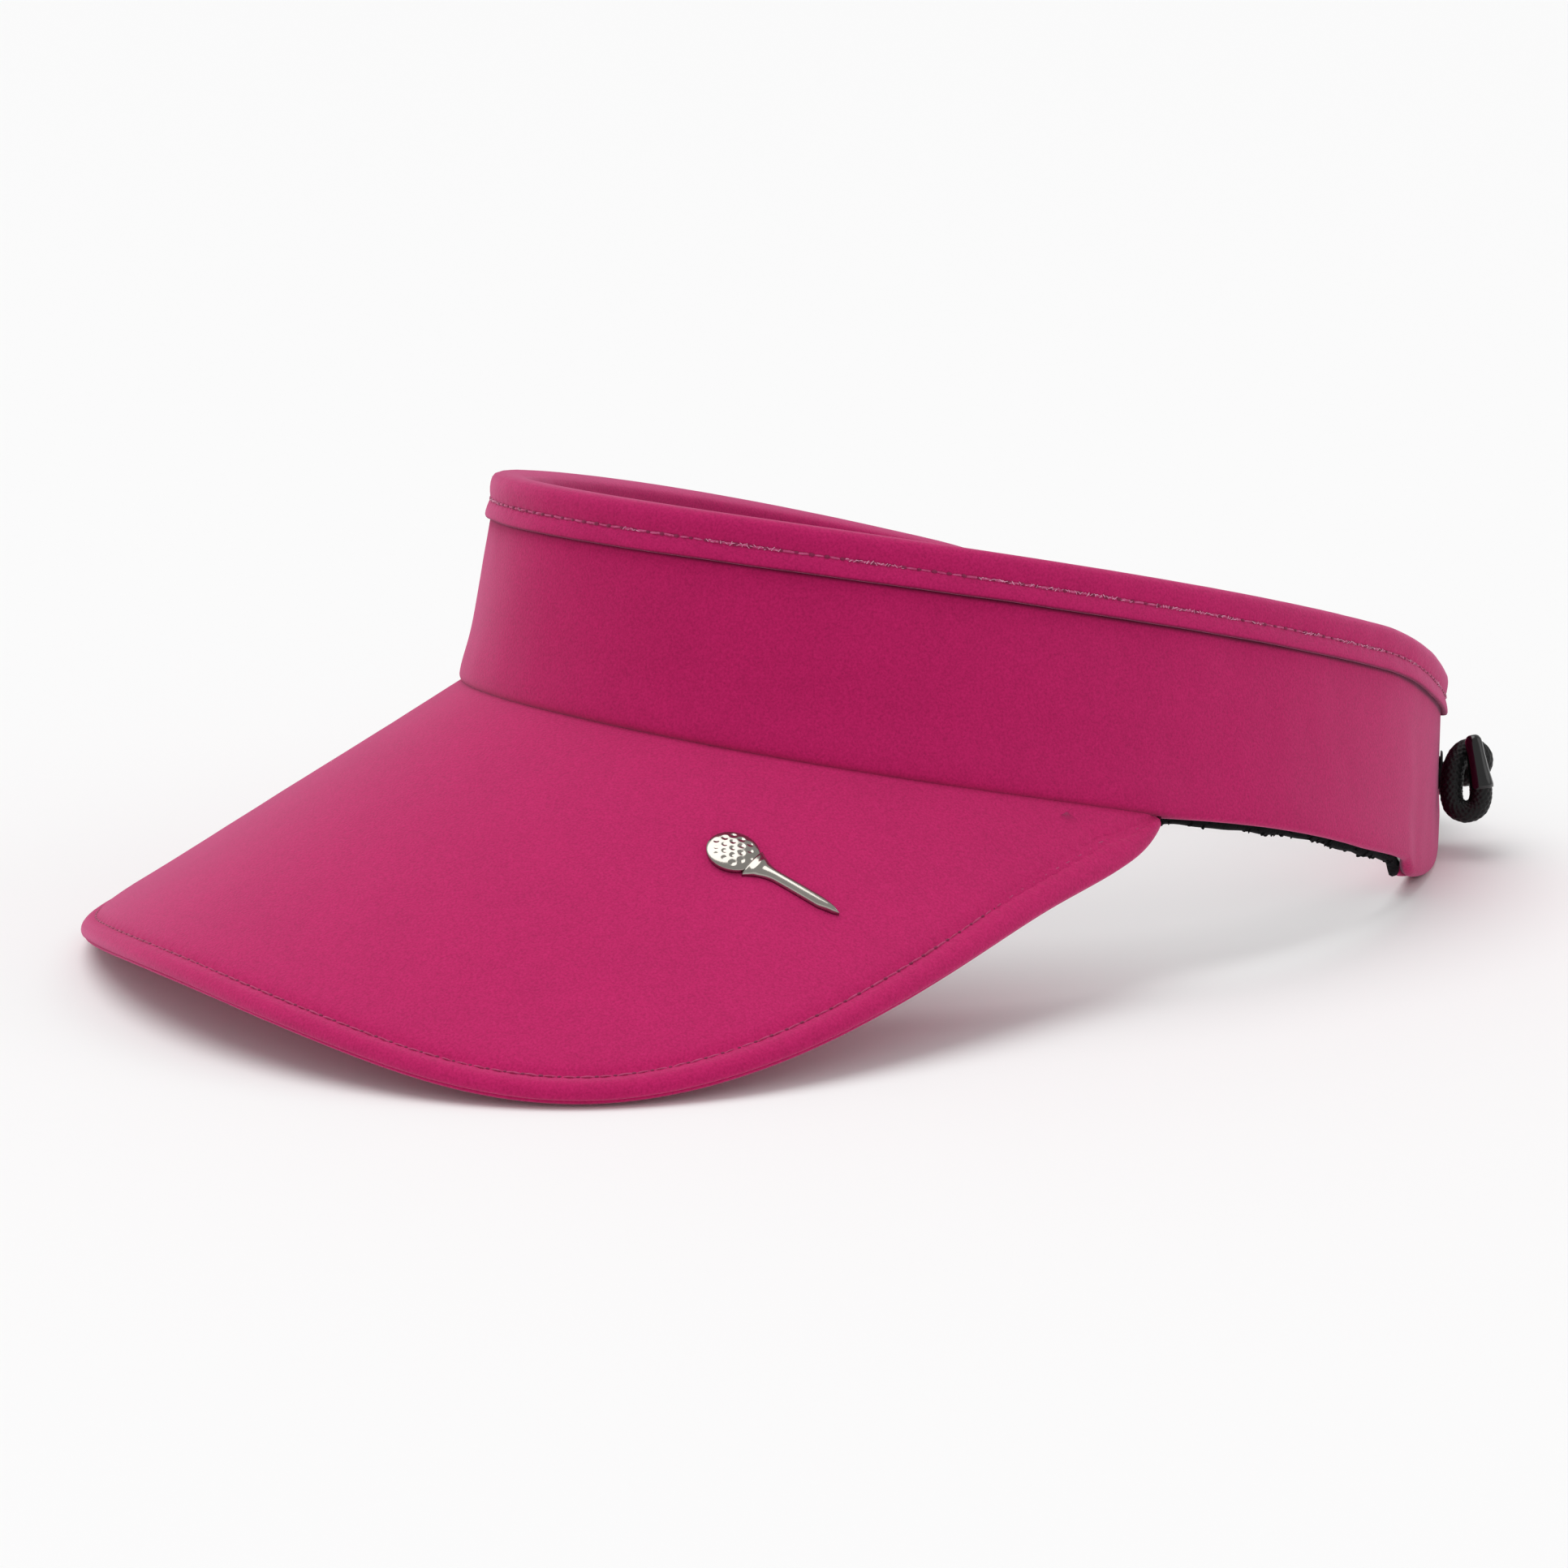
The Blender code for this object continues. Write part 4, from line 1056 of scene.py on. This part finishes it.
# The cord's end outside the eyelet: distances outward, forward along the band, and up.
CURL = (
    (4.2, -0.1, -0.3), (6.4, 0.0, -0.15), (8.2, 0.9, 1.3), (8.3, 2.3, 3.5), (6.4, 3.8, 4.8),
    (4.35, 5.2, 3.8),
    (3.1, 6.6, 1.2), (2.8, 7.4, -1.7), (2.85, 7.7, -4.4), (3.64, 7.85, -6.3), (5.55, 8.0, -7.1),
    (7.46, 8.2, -6.3), (8.25, 8.4, -4.4), (8.2, 8.5, -1.8),
)


def coil_centre(y):
    """The coil's middle line, which bows back a little between the band's ends."""
    t = 1.0 - (np.abs(y) / COIL_Y) ** 2
    return COIL_X - COIL_BULGE * t, COIL_Z + COIL_SAG * t


def coil_path(side):
    """From the middle of the back to the coil's end beside one band end."""
    y = np.linspace(0.0, COIL_Y, 2600)
    speed = ease((y - 0.5) / 3.5)
    turned = np.cumsum(speed) * (y[1] - y[0]) / COIL_PITCH * 2.0 * math.pi
    angle = turned - turned[-1] + COIL_END_TURN
    x, z = coil_centre(y)
    x = x + np.sin(angle) * COIL_TURN_RADIUS
    z = z + np.cos(angle) * COIL_TURN_RADIUS
    return np.stack((x, side * y, z), axis=-1)


def smooth_path(knots, per_span):
    """A smooth path through given points."""
    knots = [np.array(k, dtype=float) for k in knots]
    ends = [2 * knots[0] - knots[1]] + knots + [2 * knots[-1] - knots[-2]]
    path = []
    for i in range(1, len(ends) - 2):
        p0, p1, p2, p3 = ends[i - 1:i + 3]
        for j in range(per_span):
            t = j / per_span
            path.append(0.5 * (2 * p1 + (p2 - p0) * t + (2 * p0 - 5 * p1 + 4 * p2 - p3) * t * t
                               + (3 * p1 - p0 - 3 * p2 + p3) * t ** 3))
    path.append(knots[-1])
    return np.array(path)


def turned_piece(name, base, axis, profile, sides, material):
    """A piece turned about an axis: profile entries are a distance along it and a radius."""
    axis = np.array(axis, dtype=float)
    axis /= np.linalg.norm(axis)
    guide = np.array((0.0, 0.0, 1.0)) if abs(axis[2]) < 0.9 else np.array((1.0, 0.0, 0.0))
    first = np.cross(axis, guide)
    first /= np.linalg.norm(first)
    second = np.cross(axis, first)
    theta = np.linspace(0.0, 2.0 * math.pi, sides, endpoint=False)
    ring = np.cos(theta)[:, None] * first + np.sin(theta)[:, None] * second
    points = [np.array(base) + axis * along + ring * radius for along, radius in profile]
    return grid_piece(name, np.array(points), material)


def eyelet_place(side):
    """An eyelet's outer centre, and directions outward, forward along the band, and up the wall."""
    phi = np.array(side * EYELET_ANGLE)
    foot, rim = band_foot(phi), band_rim(phi)
    level = band_foot(np.array(side * TAB_START))[2]
    low = np.array((foot[0], foot[1], level))
    outward = band_normal(phi)
    along = band_foot(np.array(side * (EYELET_ANGLE - 0.02))) - foot
    along[2] = 0.0
    along = unit(along - outward * np.dot(along, outward))
    up = np.cross(outward, along)
    return low + (rim - low) * 0.5, outward, along, up * np.sign(up[2])


cord_lengths = {}
for label, side in (("left", 1.0), ("right", -1.0)):
    path = coil_path(side)
    coil_end = path[-1]
    coil = braided("curly_cord_" + label, path, CORD_RADIUS, CORD_CLOTH)
    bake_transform(coil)
    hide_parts("coil_" + label)

    face, outward, along, up = eyelet_place(side)
    heading = path[-1] - path[-30]
    heading = heading / np.linalg.norm(heading)
    tail_path = smooth_path([
        coil_end - heading * 1.0,
        coil_end + heading * 1.4,
        np.array((COIL_X + 8.2, side * (COIL_Y + 6.0), COIL_Z + 0.4)),
        face - outward * (WALL + 4.6) - along * 0.9,
        face - outward * (WALL + 2.0),
        face - outward * WALL / 2,
        face + outward * 1.9,
    ] + [face + outward * o + along * a + up * u for o, a, u in CURL], 10)
    tail = braided("cord_curl_" + label, tail_path, CORD_RADIUS, CORD_CLOTH)
    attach(tail, label + "_arm")
    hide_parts("cord_tail_" + label)
    cord_lengths[label] = float(np.linalg.norm(np.diff(path, axis=0), axis=1).sum()
                                + np.linalg.norm(np.diff(tail_path, axis=0), axis=1).sum())

    tip_heading = unit(tail_path[-1] - tail_path[-5])
    lean = unit(tip_heading * 0.4 + up - outward * 0.28)
    aglet_profile = ((-1.4, 1.90), (-1.3, 2.26), (-0.7, 2.34), (0.5, 2.20), (2.6, 1.92), (5.4, 1.74),
                     (7.4, 1.66), (8.2, 1.52), (8.8, 1.16), (9.05, 0.74), (9.1, 0.3))
    aglet = turned_piece("aglet_tip_" + label, tail_path[-1] + tip_heading * 0.5, lean, aglet_profile, 40,
                         AGLET_PLASTIC)
    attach(aglet, label + "_arm")
    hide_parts("aglet_" + label)


# ---- badge ----
BADGE_U = 2.0
BADGE_Y = 65.0
BADGE_TURN = math.radians(-77.0)
BALL_RADIUS = 4.0
TEE_LENGTH = 14.5


def on_badge(along, across, lift):
    """Points of the badge: along from the tee's tip, across, and above the cloth."""
    place = along - (TEE_LENGTH + 2 * BALL_RADIUS) / 2
    u = BADGE_U + place * math.cos(BADGE_TURN) - across * math.sin(BADGE_TURN)
    y = BADGE_Y + place * math.sin(BADGE_TURN) + across * math.cos(BADGE_TURN)
    return brim_top(u, y) + brim_normal(u, y) * (lift + 0.3)[..., None]


def badge_pieces():
    theta = np.linspace(0.0, 2.0 * math.pi, 97)[:-1][None, :]
    radius = np.concatenate((np.linspace(0.01, 0.86, 22), np.array([0.9, 0.94, 0.97, 0.99, 1.0, 1.0, 0.98])))
    radius = radius[:, None]
    dome = 0.75 + 0.95 * np.sqrt(np.maximum(1.0 - (radius * 0.96) ** 2, 0.0))
    dome[-2:] = [[0.35], [0.0]]
    x = radius * np.cos(theta) * BALL_RADIUS
    y = radius * np.sin(theta) * BALL_RADIUS
    dent = np.zeros_like(x)
    for i in range(-4, 5):
        for j in range(-4, 5):
            cx = 1.45 * (i + 0.5 * (j % 2))
            cy = 1.26 * j
            if math.hypot(cx, cy) < BALL_RADIUS - 0.75:
                near = np.hypot(x - cx, y - cy) / 0.52
                dent = dent + 0.13 * np.clip(1.0 - near ** 2, 0.0, 1.0)
    centre = TEE_LENGTH - 0.6 + BALL_RADIUS
    ball = grid_piece("ball", on_badge(centre + x, y, dome + 0.0 * x - dent), NICKEL)
    along = np.linspace(0.0, TEE_LENGTH, 60)
    cup = np.clip((along - (TEE_LENGTH - 4.5)) / 4.5, 0.0, 1.0)
    half = 0.35 + 0.75 * np.clip(along / 3.0, 0.0, 1.0) + 2.0 * cup ** 2
    half = half * np.sqrt(np.clip(along / 0.8, 0.05, 1.0))
    turn = np.linspace(0.0, math.pi, 17)[None, :]
    across = -np.cos(turn) * half[:, None]
    lift = np.sin(turn) ** 0.7 * np.minimum(1.35, 0.6 + half)[:, None]
    collar = 0.22 * np.exp(-((along - (TEE_LENGTH - 1.2)) / 0.35) ** 2)[:, None] * np.sin(turn) ** 0.5
    across = np.concatenate((across, across[:, ::-1][:, 3:-3:5]), axis=1)
    low = np.zeros((len(along), across.shape[1] - lift.shape[1]))
    height = np.concatenate((lift + collar, low), axis=1)
    tee = grid_piece("tee", on_badge(along[:, None] + 0.0 * across, across, height), NICKEL)
    return join_pieces("golf_badge", [ball, tee])


badge = badge_pieces()
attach(badge, "front")
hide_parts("badge")


# ---- CAD pieces that stay get their finish ----
for node, material in (("brim_board", BOARD), ("badge_pin_1", PIN_STEEL), ("badge_pin_2", PIN_STEEL),
                       ("interlining_front", FELT), ("interlining_left", FELT), ("interlining_right", FELT),
                       ("eyelet_left", EYELET_LACQUER), ("eyelet_right", EYELET_LACQUER)):
    kept = frame["nodes"][node]
    if not kept.data.materials:
        kept.data.materials.append(material)
    for slot in kept.material_slots:
        slot.material = material


# ---- floor and light ----
def studio():
    floor_mesh = bpy.data.meshes.new("floor")
    floor_mesh.from_pydata([(-6, -6, 0), (6, -6, 0), (6, 6, 0), (-6, 6, 0)], [], [(0, 1, 2, 3)])
    floor = bpy.data.objects.new("floor", floor_mesh)
    bpy.context.scene.collection.objects.link(floor)
    floor.location = (0.0, 0.0, -0.0002)
    material, tree, shader = new_material("floor_paper")
    set_shader(tree, shader, Base_Color=linear("#f7f7f7"), Roughness=0.9, Specular_IOR_Level=0.1)
    floor_mesh.materials.append(material)

    room = bpy.data.worlds.new("room")
    room.use_nodes = True
    background = room.node_tree.nodes["Background"]
    background.inputs["Color"].default_value = (1.0, 1.0, 1.0, 1.0)
    background.inputs["Strength"].default_value = 0.58
    bpy.context.scene.world = room

    for name, place, spread, power in (("overhead_light", (-0.25, -0.15, 1.0), 50.0, 1.4),
                                       ("side_light", (0.9, 0.9, 0.7), 40.0, 0.25)):
        data = bpy.data.lights.new(name, "SUN")
        data.angle = math.radians(spread)
        data.energy = power
        light = bpy.data.objects.new(name, data)
        light.rotation_euler = Vector(place).to_track_quat("Z", "Y").to_euler()
        bpy.context.scene.collection.objects.link(light)


studio()

print("cord lengths in mm", cord_lengths)
